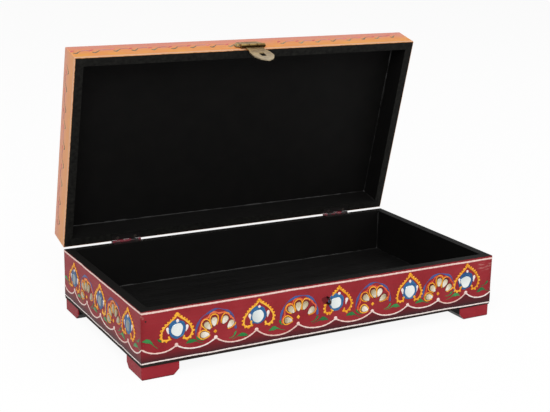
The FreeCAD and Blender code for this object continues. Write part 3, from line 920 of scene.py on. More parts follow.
@dataclass(frozen=True)
class PearlShell:
    """Mother of pearl drops, ground to shape and set in paint."""

    name: str = "ground_mother_of_pearl"
    # Lustrous and streaked along the shell's layers: greyish tan at the full end, cream, then a white point;
    # the tan is partly painted shade and the white point a painted highlight
    tan: str = "#8F7C52"
    cream: str = "#C8BC9A"
    white: str = "#F7F1E3"
    brown: str = "#80602C"

    def material(self) -> Material:
        """Mix the shell's colours.

        Returns:
            The material.
        """
        recipe, node, place = Recipe.paint(self.name)
        tone, rise = recipe.tone_and_rise()
        layers = recipe.streaks(place, (0.9, 0.9, 2.2))
        mixed = node("Math", (layers, 0.7, tone), operation="MULTIPLY_ADD")
        middle = node("MapRange", (mixed, 0.25, 0.65))
        pale = node("MapRange", (mixed, 0.75, 1.25))
        rim = node("MapRange", (rise, 0.72, 0.25, 0, 0.85))
        colour = recipe.coats(self.tan, (middle, self.cream), (pale, self.white), (rim, self.brown))
        return recipe.surface(colour, 0.3, layers, 0.12, Coat_Weight=0.5, Coat_Roughness=0.12)


@dataclass(frozen=True)
class MirrorChip:
    """Hand-cut chips of thin silvered mirror glass."""

    name: str = "silvered_mirror_chip"
    # Nearly white, slightly wavy, with a dull grey cut edge; chips of low tone show grey, a painted
    # reflection of the shaded floor beside the box
    silver: str = "#EDF1EE"
    dull: str = "#656F70"
    edge: str = "#9FB0B4"

    def material(self) -> Material:
        """Mix the silvering.

        Returns:
            The material.
        """
        recipe, node, place = Recipe.paint(self.name)
        tone, rise = recipe.tone_and_rise()
        waves = node("TexNoise", patches(place, 5, 1))
        rim = node("MapRange", (rise, 0.95, 0.5))
        colour = recipe.coats(self.dull, (tone, self.silver), (rim, self.edge))
        rough = node("MapRange", (node("TexNoise", patches(place, 0.8)), 0, 1, 0.04, 0.16))
        return recipe.surface(colour, rough, waves, 0.05, Metallic=1.0)


@dataclass(frozen=True)
class AgedBrass:
    """Stamped sheet brass, dulled by handling."""

    plan: Plan
    name: str = "aged_stamped_brass"
    # Warm yellow metal with brown tarnish in patches, dark tarnish and painted shade under the knuckles, and
    # fine scratches
    bright: str = "#A88C58"
    brown: str = "#6A4F2A"
    dark: str = "#3A2A14"
    grey: str = "#B8AD96"
    # Height of the knuckles' lower side over the shut lid's hinge axis, in millimetres
    under: float = 2.2
    # Height below which the hasp of the open lid is rubbed grey by fingers, in millimetres
    handled: float = 206.5

    def material(self) -> Material:
        """Mix the metal's colours.

        Returns:
            The material.
        """
        recipe, node, place = Recipe.paint(self.name)
        scratches = recipe.streaks(place, (0.25, 9, 9))
        cloudy = node("MapRange", (node("TexNoise", patches(place, 6)), 0.32, 0.62))
        high = node("SeparateXYZ", (place,), "Z")
        touched = node("MapRange", (high, *mm(self.handled, self.handled - 6), 0, 0.75))
        spots = node("MapRange", (node("TexNoise", patches(place, 1.2)), 0.6, 0.78, 0, 0.7))
        # Painted shade and tarnish: a dark band just under the knuckles
        shut = node("SeparateXYZ", (recipe.lid_place(place, self.plan),), "Z")
        shade_and_tarnish_under_knuckles = recipe.between(shut, self.under - 1.2, self.under - 0.35, 0.3)
        dark_tarnish_and_shade = node("Math", (shade_and_tarnish_under_knuckles, spots), operation="MAXIMUM")
        colour = recipe.coats(self.brown, (cloudy, self.bright), (touched, self.grey), (dark_tarnish_and_shade, self.dark))
        return recipe.surface(colour, (0.26, 0.5), scratches, 0.03, Metallic=1.0)


@dataclass(frozen=True)
class SpeckledMetal:
    """Drawn iron or steel with specks of another colour."""

    name: str
    # Grey metal that is brighter or browner in small spots
    ground: str
    speck: str
    # Size of the specks in millimetres, the shares between which they show, roughness and depth of the bump
    size: float
    limits: Pair
    rough: Pair
    depth: float

    def material(self) -> Material:
        """Mix the metal's colours.

        Returns:
            The material.
        """
        recipe, node, place = Recipe.paint(self.name)
        specks = node("TexNoise", patches(place, self.size))
        colour = recipe.coats(self.ground, (node("MapRange", (specks, *self.limits)), self.speck))
        return recipe.surface(colour, self.rough, specks, self.depth, Metallic=1.0)


@dataclass(frozen=True)
class PaintedHinge:
    """Pressed steel hinges, overpainted: crimson on the barrel, black on the leaves."""

    plan: Plan
    name: str = "overpainted_steel_hinge"
    # Crimson skin with bare glints on the barrel; the leaves have gone black with the rim
    crimson: str = "#6E1024"
    bare: str = "#8E7A76"
    black: str = "#141212"
    # Distances from the hinge axis between which the barrel's crimson starts, in millimetres
    barrel: Pair = (1.9, 1.4)

    def material(self) -> Material:
        """Mix the paint.

        Returns:
            The material.
        """
        recipe, node, place = Recipe.paint(self.name)
        off = node("VectorMath", (place, (0, *mm(*self.plan.axis))), operation="SUBTRACT")
        flat = node("VectorMath", (off, (0, 1, 1)), operation="MULTIPLY")
        reach = node("VectorMath", (flat,), "Value", operation="LENGTH")
        specks = node("TexNoise", patches(place, 1.3))
        kept = node("MapRange", (node("TexNoise", patches(place, 5, 2)), 0.44, 0.54))
        barrel = node("MapRange", (reach, *mm(*self.barrel)))
        barrel = node("Math", (barrel, kept), operation="MULTIPLY")
        chips = node("MapRange", (specks, 0.58, 0.66))
        colour = recipe.coats(self.black, (barrel, recipe.coats(self.crimson, (chips, self.bare))))
        metal = node("Math", (chips, barrel), operation="MULTIPLY")
        return recipe.surface(colour, 0.38, specks, 0.08, Metallic=metal)


@dataclass(frozen=True)
class BuriedNail:
    """Nail ends painted over with the wall, but for one at the front's upper left that shows dark."""

    plan: Plan
    name: str = "painted_over_nail"
    # The wall's red, and a dark pit where the filler has dropped out, its darkness partly the nail's end and
    # partly painted shade
    red: str = "#86191F"
    pit: str = "#170B0B"
    # Height of the pit over the walls' lower edge, and how far from it the red ends, in millimetres
    height: float = 33.0
    edge: Pair = (3.5, 2.5)

    def material(self) -> Material:
        """Mix the paint.

        Returns:
            The material.
        """
        recipe, node, place = Recipe.paint(self.name)
        plan = self.plan
        pit = (plan.wall / 2 - plan.half_width, plan.middle_y - plan.half_depth, plan.foot_top + self.height)
        off = node("VectorMath", (place, mm(*pit)), "Value", operation="DISTANCE")
        # Partly painted shade: a dark spot about the nail stands in for the hollow of the pit
        colour = recipe.coats(self.red, (node("MapRange", (off, *mm(*self.edge))), self.pit))
        fine = node("TexNoise", patches(place, 0.8))
        return recipe.surface(colour, (0.35, 0.55), fine, 0.04, Specular_IOR_Level=0.28)


@dataclass(frozen=True)
class StudioFloor:
    """White studio paper: seen as white, it keeps a soft shadow and lights the object from below."""

    name: str = "white_studio_paper"
    # Matt white paper with a faint fibre
    white: str = "#F4F4F4"
    # Share of the floor that is seen as plain white; the rest shows the shadow
    plain: float = 0.92

    def material(self) -> Material:
        """Mix the paper.

        Returns:
            The material.
        """
        recipe, node, place = Recipe.paint(self.name)
        share = node("Math", (recipe.looked_at(), self.plain), operation="MULTIPLY")
        fibre = node("TexNoise", patches(place, 2))
        rough = node("MapRange", (fibre, 0, 1, 0.85, 1))
        paper = node("BsdfDiffuse", {"Color": self.white, "Roughness": rough})
        glow = node("Emission", {"Color": "#FFFFFF", "Strength": 1.0})
        node("OutputMaterial", (node("MixShader", (share, paper, glow)),))
        return recipe.owner


Finish = Union[
    CaseEnamel, FootEnamel, LidEnamel, BlackEnamel, PipedPaint, DarkGlaze, PearlShell, MirrorChip, AgedBrass,
    SpeckledMetal, PaintedHinge, BuriedNail, StudioFloor,
]


def dress(thing: bpy.types.Object, finish: Finish) -> None:
    """Give an object a finish as its only material.

    Args:
        thing: the object.
        finish: its finish.
    """
    material = bpy.data.materials.get(finish.name) or finish.material()
    thing.data.materials.clear()
    thing.data.materials.append(material)


# Raised work

@dataclass
class Relief:
    """Raised work of one finish on one body, gathered shell by shell into one mesh."""

    name: str
    body: Body
    finish: Finish
    # The record's material slot, if it has one of its own
    slot: Optional[str] = None
    count: int = 0
    # Points, quads, triangles, tones and rises of each shell
    parts: list[tuple[Points, ...]] = field(default_factory=list)

    def add(self, shell: Shell, face: Face, tone: Union[float, Points]) -> None:
        """Gather one shell.

        Args:
            shell: the shell, in millimetres on its face.
            face: the face that carries it.
            tone: its tone, 0 dark to 1 light, for all of it or for each point.
        """
        heights = shell.points[:, 2]
        self.parts.append((
            face.place(shell.points),
            shell.quads + self.count,
            shell.triangles + self.count,
            np.broadcast_to(tone, heights.shape),
            np.clip(heights / heights.max(), 0, 1),
        ))
        self.count += len(heights)

    def build(self) -> None:
        """Make the mesh and its object, dress it and let it ride."""
        points, quads, triangles, tones, rises = (np.concatenate(kind) for kind in zip(*self.parts))
        corners = np.concatenate((quads.ravel(), triangles.ravel())).astype(np.int32)
        sizes = np.repeat((4, 3), (len(quads), len(triangles)))
        starts = np.concatenate(([0], np.cumsum(sizes)[:-1])).astype(np.int32)
        mesh = bpy.data.meshes.new(self.name)
        mesh.vertices.add(self.count)
        mesh.vertices.foreach_set("co", points.ravel().astype(np.float32))
        mesh.loops.add(len(corners))
        mesh.loops.foreach_set("vertex_index", corners)
        mesh.polygons.add(len(starts))
        mesh.polygons.foreach_set("loop_start", starts)
        mesh.update(calc_edges=True)
        mesh.shade_smooth()
        for name, values in (("tone", tones), ("rise", rises)):
            layer = mesh.attributes.new(name, "FLOAT", "POINT")
            layer.data.foreach_set("value", values.astype(np.float32))
        piece = bpy.data.objects.new(self.name, mesh)
        bpy.context.scene.collection.objects.link(piece)
        dress(piece, self.finish)
        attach(piece, self.body.value)
        log.info("%s: %d points on %s", self.name, self.count, self.body.value)


HERE = Spot()


@dataclass
class Brush:
    """Lays strokes, dots and set pieces on one face."""

    face: Face
    # Where the work of each coat is gathered
    reliefs: Mapping[Coat, Relief]
    # Source of the hand's small irregularities
    random: np.random.Generator

    def lay(self, coat: Coat, shell: Shell, tone: Optional[Union[float, Points]] = None) -> None:
        """Gather a shell under its coat, with a tone of its own if none is given."""
        own = float(self.random.uniform(0.2, 0.8))
        self.reliefs[coat].add(shell, self.face, own if tone is None else tone)

    def shaken(self, points: Corners, amount: float) -> Points:
        """Move points a little, as a hand does."""
        flat = np.asarray(points, float)
        return flat + self.random.normal(0, amount, flat.shape)

    def line(
        self,
        coat: Coat,
        corners: Corners,
        half: float,
        height: float,
        spot: Spot = HERE,
        looped: bool = False,
        uneven: float = 0.14,
        swell: Optional[Sequence[float]] = None,
        tone: Optional[float] = None,
    ) -> Points:
        """Pipe a line through corner points.

        Formula of the half width: the given one, times its swell along the line, times 1 plus two sines of
        random phase, drawn in as an ellipse at both ends.

        Args:
            coat: what it is piped with.
            corners: corner points about the spot's origin.
            half: half the width in millimetres.
            height: the height in millimetres.
            spot: where it stands.
            looped: whether it runs back to its start.
            uneven: how much its width varies.
            swell: share of the width at even steps from start to end.
            tone: its tone, or one of its own if none is given.

        Returns:
            Points along the line on the face.
        """
        path = smooth_path(spot.put(corners), looped)
        at = np.arange(len(path)) * STEP
        first, second = self.random.uniform(0, 2 * math.pi, 2)
        waves = np.sin(at * 1.2 + first) + 0.6 * np.sin(at * 2.9 + second)
        width = half * (1 + uneven * waves / 1.6)
        if swell is not None:
            width = width * np.interp(np.linspace(0, 1, len(path)), np.linspace(0, 1, len(swell)), swell)
        if not looped:
            rest = np.minimum(at, at[::-1]) / half
            width = width * np.sqrt(np.clip(1 - (1 - np.clip(rest, 0, 1)) ** 2, 0.02, 1))
        tall = height * np.sqrt(np.clip(width / half, 0.05, 1.2))
        self.lay(coat, stroke(path, width, tall, looped), tone)
        return path

    def dots(
        self,
        coat: Coat,
        centres: Points,
        radius: float,
        height: float,
        spread: float = 0.12,
        tone: Optional[float] = None,
    ) -> None:
        """Set a small dome at each centre.

        Args:
            coat: what they are made of.
            centres: points on the face, shape (dots, 2).
            radius: middle radius in millimetres.
            height: height in millimetres.
            spread: how much they vary in size.
            tone: their tone, or each its own if none is given.
        """
        crown = [(1.0, 0.0), (0.86, 0.6 * height), (0.45, height)]
        for centre in centres:
            size = 2 * radius * self.random.normal(1, spread, 2)
            self.lay(coat, pebble(centre + blob(*size, count=9), crown), tone)

    def patch(self, coat: Coat, outline: Points, crown: Sequence[Pair], spot: Spot = HERE) -> None:
        """Set one piece over an outline about the spot's origin, with rings from its foot to its top."""
        self.lay(coat, pebble(spot.put(outline), crown))


@dataclass(frozen=True)
class Petal:
    """One pearl drop of a fan: its place, the turn of its full end in degrees, its size and its gold line."""

    x: float
    y: float
    turn: float
    length: float
    width: float
    # Where the line round it starts and ends, in radians from its full end, and how far it passes the ends
    loop: Pair = (-2.4, 2.4)
    gap: float = 1.3


@dataclass(frozen=True)
class Fan:
    """Five drops round a small diamond: its place along the face, its height and its drops."""

    x: float
    y: float
    petals: tuple[Petal, ...]


# The gold line of each drop of a fan from left to right: its start, its end and how far it passes the ends
LOOPS = ((-2.8, 2.8, 0.6), (-2.4, 2.4, 1.3), (-2.4, 2.4, 1.3), (-0.5, 2.8, 1.3), (-2.9, -0.7, 0.6))


def five_drops(*drops: tuple[float, ...]) -> tuple[Petal, ...]:
    """Give the drops of a fan, each by its place, turn, length and width, their gold lines."""
    return tuple(Petal(*drop, (start, end), gap) for drop, (start, end, gap) in zip(drops, LOOPS))


FAN_ONE = five_drops(
    (-8.0, -1.2, 176, 7.4, 4.9), (-6.0, 5.0, 130, 7.2, 4.7), (-0.9, 7.3, 93, 7.2, 5.0),
    (7.4, 7.4, 60, 6.8, 4.9), (11.8, 3.6, 38, 7.0, 4.7),
)
FAN_TWO = five_drops(
    (-8.3, -1.2, 170, 7.0, 5.0), (-6.0, 6.4, 132, 7.2, 4.8), (-0.2, 8.0, 92, 7.4, 5.0),
    (5.4, 8.0, 66, 7.1, 4.9), (10.6, 3.4, 44, 7.2, 4.8),
)
FAN_THREE = five_drops(
    (-6.9, -3.0, 160, 6.8, 5.0), (-6.0, 5.6, 135, 7.0, 5.2), (0.7, 8.0, 112, 7.6, 4.8),
    (5.6, 8.2, 65, 7.1, 4.9), (8.8, 3.6, 35, 7.2, 4.8),
)
FAN_FOUR = five_drops(
    (-8.2, -1.4, 168, 7.0, 5.0), (-5.1, 4.8, 135, 7.0, 4.9), (0.6, 9.2, 88, 7.4, 4.9),
    (6.0, 7.6, 62, 7.3, 4.7), (9.7, 3.6, 40, 7.1, 4.9),
)

# Outlines of the mirror chips, as waves round them
CHIP_CUT = ((2, 0.03, 60), (3, 0.05, 170), (4, 0.02, 20))
CHIP_ROUND = ((3, 0.02, 40), (5, 0.012, 0))
CHIP_SQUARE = ((4, 0.055, 45), (3, 0.02, 10))
CHIP_NOTCHED = ((2, 0.03, 120), (3, 0.05, 270), (5, 0.03, 270))
CHIP_SHIELD = ((3, 0.085, 270), (5, 0.03, 90))


@dataclass(frozen=True)
class Teardrop:
    """A pointed arch round a mirror chip in a blue ring."""

    # Place along the face, height of the arch's tip, and stretch of its height
    x: float
    tip: float
    tall: float
    # How far the chip lies to the right of the arch's middle
    shift: float
    chip: tuple[Triple, ...]
    chip_size: Pair = (9.6, 9.3)
    # Stretch of the arch's width, and tone of the chip, 0 grey to 1 silver, where the grey is painted
    # reflection of shade
    wide: float = 0.95
    silver: float = 1.0
    # Size of the blue ring, how far it lies over the chip, and how far both hang down
    ring: Pair = (13.4, 13.8)
    rise: float = 0.5
    low: float = 0.0
    # Whether a piece of the arch's left side is missing
    broken: bool = False


class Motifs(Brush):
    """The traditional motifs that are painted round the box."""

    # Height of the gold arch's tip, and points of the arches, about a motif's middle in millimetres
    arch_tip = 12.6
    arch_right = (
        (0.0, 11.7), (3.2, 9.4), (7.0, 6.4), (9.8, 3.3), (11.8, -0.1), (12.3, -2.7), (11.3, -5.6),
        (9.4, -7.5), (7.2, -8.0), (5.6, -6.8), (5.8, -4.8),
    )
    arch_left = (
        (0.0, 11.7), (-3.3, 8.7), (-6.8, 6.0), (-9.9, 3.4), (-11.9, 0.4), (-12.7, -2.6), (-12.6, -5.1),
        (-11.5, -6.7), (-9.2, -7.1), (-6.9, -6.9), (-6.3, -5.4), (-7.2, -4.0),
    )
    blue_arch = (
        (-15.0, -1.5), (-14.6, 3.0), (-13.2, 7.5), (-10.3, 11.6), (-5.0, 15.0), (0.8, 16.2), (6.0, 15.3),
        (10.6, 12.7), (14.0, 8.8), (15.6, 4.6), (16.0, -0.6),
    )
    orange_arch = (
        (-13.0, -3.4), (-13.1, 0.4), (-11.4, 3.0), (-11.2, 6.6), (-9.0, 9.8), (-5.4, 11.0), (-3.8, 13.4),
        (-0.2, 14.2), (3.2, 13.0), (6.8, 13.2), (10.4, 11.4), (12.4, 8.6), (14.4, 6.6), (14.0, 3.4),
        (13.0, 1.0),
    )
    # How far a pearl drop stands out of the face, in millimetres
    pearl_height = 0.85

    def turned(self, spot: Spot) -> "Motifs":
        """Motifs about a turned spot of this face, with irregularities of their own.

        Args:
            spot: where their origin lies on this face, and their turn.

        Returns:
            The turned motifs.
        """
        angle = math.radians(spot.turn)
        across, up = np.array((self.face.across, self.face.up))
        face = Face(
            tuple(np.array(self.face.origin) + spot.x * across + spot.y * up),
            tuple(across * math.cos(angle) + up * math.sin(angle)),
            tuple(up * math.cos(angle) - across * math.sin(angle)),
            self.face.out,
        )
        return Motifs(face, self.reliefs, np.random.default_rng(int(self.random.integers(1, 10000))))

    def arch(self, spot: Spot, broken: bool) -> None:
        """Pipe the gold arch with a row of beads along its outer side.

        Args:
            spot: where it stands.
            broken: whether a piece of its left side is missing.
        """
        left = (self.arch_left[:3], self.arch_left[4:]) if broken else (self.arch_left,)
        for corners, way in [(part, -1) for part in left] + [(self.arch_right, 1)]:
            path = self.line(Coat.GOLD, self.shaken(corners, 0.12), half=0.72, height=0.36, spot=spot)
            beads = (path + sideways(path) * way * 0.8)[3:-1:6]
            self.dots(Coat.GOLD, self.shaken(beads, 0.08), radius=0.92, height=0.42)
        self.dots(Coat.GOLD, spot.put([(0, 12.5)]), radius=1.4, height=0.44)

    def teardrop(self, motif: Teardrop) -> None:
        """A gold arch round a mirror chip in a blue ring, with a white dot and two white drops.

        Args:
            motif: the teardrop.
        """
        level = motif.tip - self.arch_tip * motif.tall
        spot = Spot(motif.x, level, self.random.normal(0, 0.8), motif.wide, motif.tall)
        self.arch(spot, motif.broken)
        middle = Spot(motif.x + motif.shift, level + 0.2 - motif.low, self.random.normal(0, 2.0))
        loose = [(n, self.random.uniform(0.01, 0.035), self.random.uniform(0, 360)) for n in (2, 3, 5, 8)]
        ring = replace(middle, y=middle.y + motif.rise)
        self.patch(Coat.BLUE, blob(*motif.ring, loose, 48), slab(0.22), ring)
        # Thicker dabs of the blue, where the brush was set down
        for start in self.random.uniform(0, 2 * math.pi, 5):
            angle = np.linspace(start, start + self.random.uniform(0.7, 1.3), 6)
            bow = around(angle, self.random.uniform(5.5, 6.1))
            self.line(Coat.BLUE, bow, half=0.55, height=0.4, spot=middle, swell=(0.3, 1.0, 0.8, 0.3))
        lean = tuple(self.random.normal(0, 0.006, 2))
        chip = middle.put(blob(*motif.chip_size, motif.chip, 40))
        self.lay(Coat.MIRROR, pebble(chip, slab(0.42), lean), motif.silver)
        self.dots(Coat.WHITE, spot.put([(0.2, 7.2)]), radius=1.3, height=0.42, spread=0.06, tone=1.0)
        for side in (-1, 1):
            corners = [(side * x, y) for x, y in ((7.7, 3.0), (7.8, 1.4), (7.3, -0.8), (7.0, -2.4))]
            drop = self.shaken(corners, 0.12)
            swell = (0.95, 1.0, 0.6, 0.3)
            self.line(Coat.WHITE, drop, half=1.2, height=0.42, spot=spot, swell=swell, tone=1.0)

    def pearl(self, petal: Petal, spot: Spot, shine: float = 1.0) -> None:
        """Set one pearl drop, whitest at its point, on a bed of dark glaze that is painted shade, with a thin
        gold line round its full end.

        Args:
            petal: the drop.
            spot: where its fan stands.
            shine: how white it shows, 0 to 1.
        """
        length, width, gap = petal.length, petal.width, petal.gap
        own = Spot(petal.x, petal.y, petal.turn + self.random.normal(0, 3))
        # Painted shade: a dark bed under the drop that shows in the gap between it and its gold line
        painted_shade_bed = drop_outline(length + 1.5 * gap, width + 1.0) + (0.4 * gap, 0)
        self.lay(Coat.SHADE, pebble(spot.put(own.put(painted_shade_bed)), slab(0.05)))
        shell = pebble(spot.put(own.put(drop_outline(length, width))), dome(self.pearl_height))
        # Painted highlight and shade: each drop is whitest towards its point and greyish tan towards its full
        # end
        point, full = spot.put(own.put([(-length / 2, 0), (length / 2, 0)]))
        along = (shell.points[:, :2] - point) @ (full - point) / length**2
        self.lay(Coat.PEARL, shell, shine * np.clip(1.1 - along + self.random.normal(0, 0.15), 0, 1))
        angle = np.linspace(*(np.array(petal.loop) + self.random.uniform(-0.25, 0.25, 2)), 14)
        count = 64
        outline = drop_outline(length + 2 * gap, width + 1.5, count) + (0.45 * gap, 0)
        picked = outline[np.round(angle / (2 * math.pi) * count).astype(int) % count]
        self.line(Coat.GOLD, own.put(self.shaken(picked, 0.06)), half=0.48, height=0.34, spot=spot)

    def fan(self, motif: Fan, shine: float = 1.0) -> None:
        """Five pearl drops in gold loops under an orange and a blue arch.

        Args:
            motif: the fan.
            shine: how white its drops show, 0 to 1.
        """
        spot = Spot(motif.x, motif.y)
        # The blue arch was dabbed, so that its width comes and goes
        dabs = np.linspace(0.25, 0.25 + 3.5 * math.pi, 40) + self.random.uniform(-0.4, 0.4)
        swell = 0.3 + 0.95 * np.sin(dabs) ** 2
        blue = self.shaken(self.blue_arch, 0.2)
        self.line(Coat.GLAZE, blue, half=0.88, height=0.24, spot=spot, swell=swell)
        orange = self.shaken(self.orange_arch, 0.14)
        self.line(Coat.ORANGE, orange, half=0.66, height=0.28, spot=spot, uneven=0.4)
        for petal in motif.petals:
            self.pearl(petal, spot, shine)
        self.patch(Coat.GOLD, blob(2.5, 2.7, ((4, 0.17, 0),), 16), dome(0.42), spot)

    def leaf(self, x: float, y: float, way: int, small: bool = False, turn: float = 0.0) -> None:
        """A leaf with a thin tail.

        Args:
            x: where its body lies along the face.
            y: its height.
            way: 1 if the tail runs to the right, -1 to the left.
            small: whether it is the smaller second leaf.
            turn: its turn in degrees.
        """
        if small:
            shape = [(-1.0, 1.9), (-0.1, 0.5), (1.1, -1.0), (3.2, -2.0), (5.4, -2.3)]
            half, swell = 0.95, (0.45, 1.0, 0.6, 0.35, 0.3, 0.25)
        else:
            shape = [(-4.8, -1.1), (-2.2, 0.0), (0.4, 0.5), (3.0, -0.1), (5.6, -1.4), (9.0, -2.3)]
            half, swell = 1.6, (0.12, 0.5, 0.95, 1.0, 0.55, 0.22, 0.16, 0.15, 0.14)
        spot = Spot(x, y, turn + self.random.normal(0, 4) * way, way, 1.0)
        self.line(Coat.GREEN, self.shaken(shape, 0.14), half, height=0.3, spot=spot, swell=swell)

    def scallops(self, cusps: Sequence[Pair], sags: Sequence[float], bottom: Sequence[float]) -> None:
        """A white scalloped line with a dot at each cusp, over a dark glaze down to the lower white line.

        Args:
            cusps: place along the face and height of each cusp, from left to right, with both ends.
            sags: height of each bow's lowest point.
            bottom: heights of the lower white line at even steps from the left end to the right.
        """
        bows = [hanging_bow(start, end, low, 33) for start, end, low in zip(cusps, cusps[1:], sags)]
        whole = np.vstack([bow[:-1] for bow in bows] + [bows[-1][-1:]])
        steps = np.linspace(cusps[0][0], cusps[-1][0], len(bottom))
        lower = np.stack((whole[:, 0], np.interp(whole[:, 0], steps, bottom)), 1)
        self.lay(Coat.SHADE, film(lower, whole, 0.04))
        for bow in bows:
            self.line(Coat.WHITE, bow[::2], half=0.55, height=0.32, uneven=0.18)
        self.dots(Coat.WHITE, np.array(cusps[1:-1]) + (0, 0.3), radius=1.55, height=0.42, spread=0.07)

    def level_line(self, reach: float, heights: Sequence[float], half: float, tone: float) -> None:
        """A white line along the face, drawn by hand.

        Args:
            reach: half its length.
            heights: its heights at even steps from the left end to the right.
            half: half its width.
            tone: its tone, 0 pinkish to 1 white.
        """
        along = np.linspace(0, 1, 24)
        tall = np.interp(along, np.linspace(0, 1, len(heights)), heights)
        tall[1:-1] += self.random.normal(0, 0.1, 22)
        corners = np.stack((reach * (2 * along - 1), tall), 1)
        self.line(Coat.WHITE, corners, half, height=0.16, uneven=0.12, tone=tone)


@dataclass
class BaseOrnament:
    """Raised paint, chips and drops on the four outer faces of the base."""

    plan: Plan
    # Half the width of the upper white line, and the tones of both white lines
    line_half: float = 0.72
    upper_tone: float = 0.42
    lower_tone: float = 1.0
    # Front and back: motifs, cusps and lowest points of the scallops, and heights of both white lines
    front_tears: tuple[Teardrop, ...] = (
        Teardrop(-123.2, 35.0, 0.92, -0.1, CHIP_CUT, (9.0, 9.3), 0.93),
        Teardrop(-59.6, 35.5, 0.95, -1.0, CHIP_ROUND, (9.5, 9.6), 0.96, rise=1.0, low=0.4),
        Teardrop(7.0, 35.4, 0.98, -2.3, CHIP_SQUARE, (9.0, 8.8), 0.9, rise=0.7, broken=True),
        Teardrop(70.9, 35.8, 1.03, 0.1, CHIP_NOTCHED, (9.4, 9.6), 0.88, ring=(14.2, 14.8), rise=0.9, low=0.7),
        Teardrop(125.7, 35.9, 1.01, -1.2, CHIP_SHIELD, wide=0.93, ring=(14.4, 14.4), rise=0.8, low=1.2),
    )
    front_fans: tuple[Fan, ...] = (
        Fan(-94.2, 17.5, FAN_ONE), Fan(-27.2, 17.3, FAN_TWO), Fan(37.3, 17.3, FAN_THREE),
        Fan(98.0, 16.2, FAN_FOUR),
    )
    front_cusps: tuple[Pair, ...] = (
        (-150.0, 13.3), (-123.9, 12.2), (-93.8, 12.7), (-61.5, 13.1), (-27.2, 11.8), (4.8, 10.8),
        (37.2, 11.5), (69.6, 11.2), (98.6, 10.8), (125.3, 12.8), (150.0, 10.6),
    )
    front_sags: tuple[float, ...] = (8.6, 7.9, 7.2, 6.1, 6.6, 6.4, 6.0, 7.0, 6.8, 7.2)
    front_top: Pair = (38.9, 38.3)
    front_bottom: tuple[float, ...] = (2.5, 2.6, 2.7, 2.3, 1.4)
    # The same of the left and the right side, whose lowest points vary about one height
    side_tears: tuple[float, ...] = (-55.6, 1.3, 56.9)
    side_fans: tuple[float, ...] = (-28.0, 28.2)
    side_cusps: tuple[Pair, ...] = (
        (-80.0, 11.6), (-55.6, 13.4), (-27.4, 12.8), (1.3, 12.1), (29.4, 11.5), (56.3, 11.5), (80.0, 12.9),
    )
    side_top: Pair = (39.4, 39.2)
    side_sag: float = 7.4
    side_bottom: Pair = (2.8, 2.5)
    # Leaves by a teardrop and by a fan: their shares of the way between them, and their heights
    leaf_shares: Pair = (0.385, 0.54)
    leaf_heights: Pair = (12.2, 14.4)
    # The sides' chips are painted grey, a painted reflection of the shaded floor beside them, and their drops
    # are painted darker than the front's
    side_chip_reflection: float = 0.05
    side_shine: float = 0.04

    def leaves(self, motifs: Motifs, tears: Sequence[float], fans: Sequence[float], half: float) -> None:
        """Two leaves between each teardrop and fan, and at both ends.

        Args:
            motifs: the face's motifs.
            tears: places of the teardrops.
            fans: places of the fans.
            half: half the length of the face.
        """
        (near, far), (low, high) = self.leaf_shares, self.leaf_heights
        for tear in tears:
            # Only the fans next to a teardrop lie within 40 mm of it
            for gap in (fan - tear for fan in fans if abs(fan - tear) < 40):
                way = 1 if gap > 0 else -1
                motifs.leaf(tear + near * gap, low + motifs.random.normal(0, 0.6), way)
                motifs.leaf(tear + far * gap, high + motifs.random.normal(0, 0.5), way, small=True)
        motifs.leaf(5.0 - half, 17.9, 1, turn=-14)
        motifs.leaf(13.5 - half, 17.6, 1, small=True)
        motifs.leaf(half - 9.5, 13.0, 1, turn=6)
        motifs.leaf(half - 4.2, 18.4, -1, small=True, turn=-12)

    def long_face(self, motifs: Motifs, front: bool) -> None:
        """The front, where paint has come off and gathered by the staple, or the back.

        Args:
            motifs: the face's motifs.
            front: whether it is the front.
        """
        for tear in self.front_tears:
            motifs.teardrop(replace(tear, broken=front and tear.broken))
        if front:
            # Dark paint to the left of the staple
            low, high = np.array(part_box("latch_staple")) / MM
            left = Spot((low[0] + high[0]) / 2 - 1.8, (low[2] + high[2]) / 2 - self.plan.foot_top + 0.4)
            motifs.patch(Coat.SHADE, blob(5.6, 5.2, ((3, 0.1, 150), (5, 0.06, 20))), slab(0.05), left)
        for fan in self.front_fans:
            motifs.fan(fan)
        half = self.plan.half_width
        motifs.scallops(self.front_cusps, self.front_sags, self.front_bottom)
        motifs.level_line(half, self.front_top, self.line_half, self.upper_tone)
        motifs.level_line(half, self.front_bottom, 0.76 * self.line_half, self.lower_tone)
        tears, fans = ([motif.x for motif in kind] for kind in (self.front_tears, self.front_fans))
        self.leaves(motifs, tears, fans, half)

    def short_face(self, motifs: Motifs) -> None:
        """The left or the right side.

        Args:
            motifs: the face's motifs.
        """
        for x, chip in zip(self.side_tears, (CHIP_SHIELD, CHIP_ROUND, CHIP_CUT)):
            tip = 35.4 + motifs.random.normal(0, 0.2)
            tear = Teardrop(x, tip, 0.98, -0.4, chip, chip_size=(6.4, 8.2), wide=0.9, silver=self.side_chip_reflection)
            motifs.teardrop(tear)
        for x, petals in zip(self.side_fans, (FAN_TWO, FAN_FOUR)):
            motifs.fan(Fan(x, 17.0, petals), self.side_shine)
        sags = [self.side_sag + motifs.random.normal(0, 0.4) for _ in self.side_cusps[1:]]
        half = self.plan.half_depth
        motifs.scallops(self.side_cusps, sags, self.side_bottom)
        motifs.level_line(half, self.side_top, self.line_half, self.upper_tone)
        motifs.level_line(half, self.side_bottom, 0.7 * self.line_half, self.lower_tone)
        self.leaves(motifs, self.side_tears, self.side_fans, half)

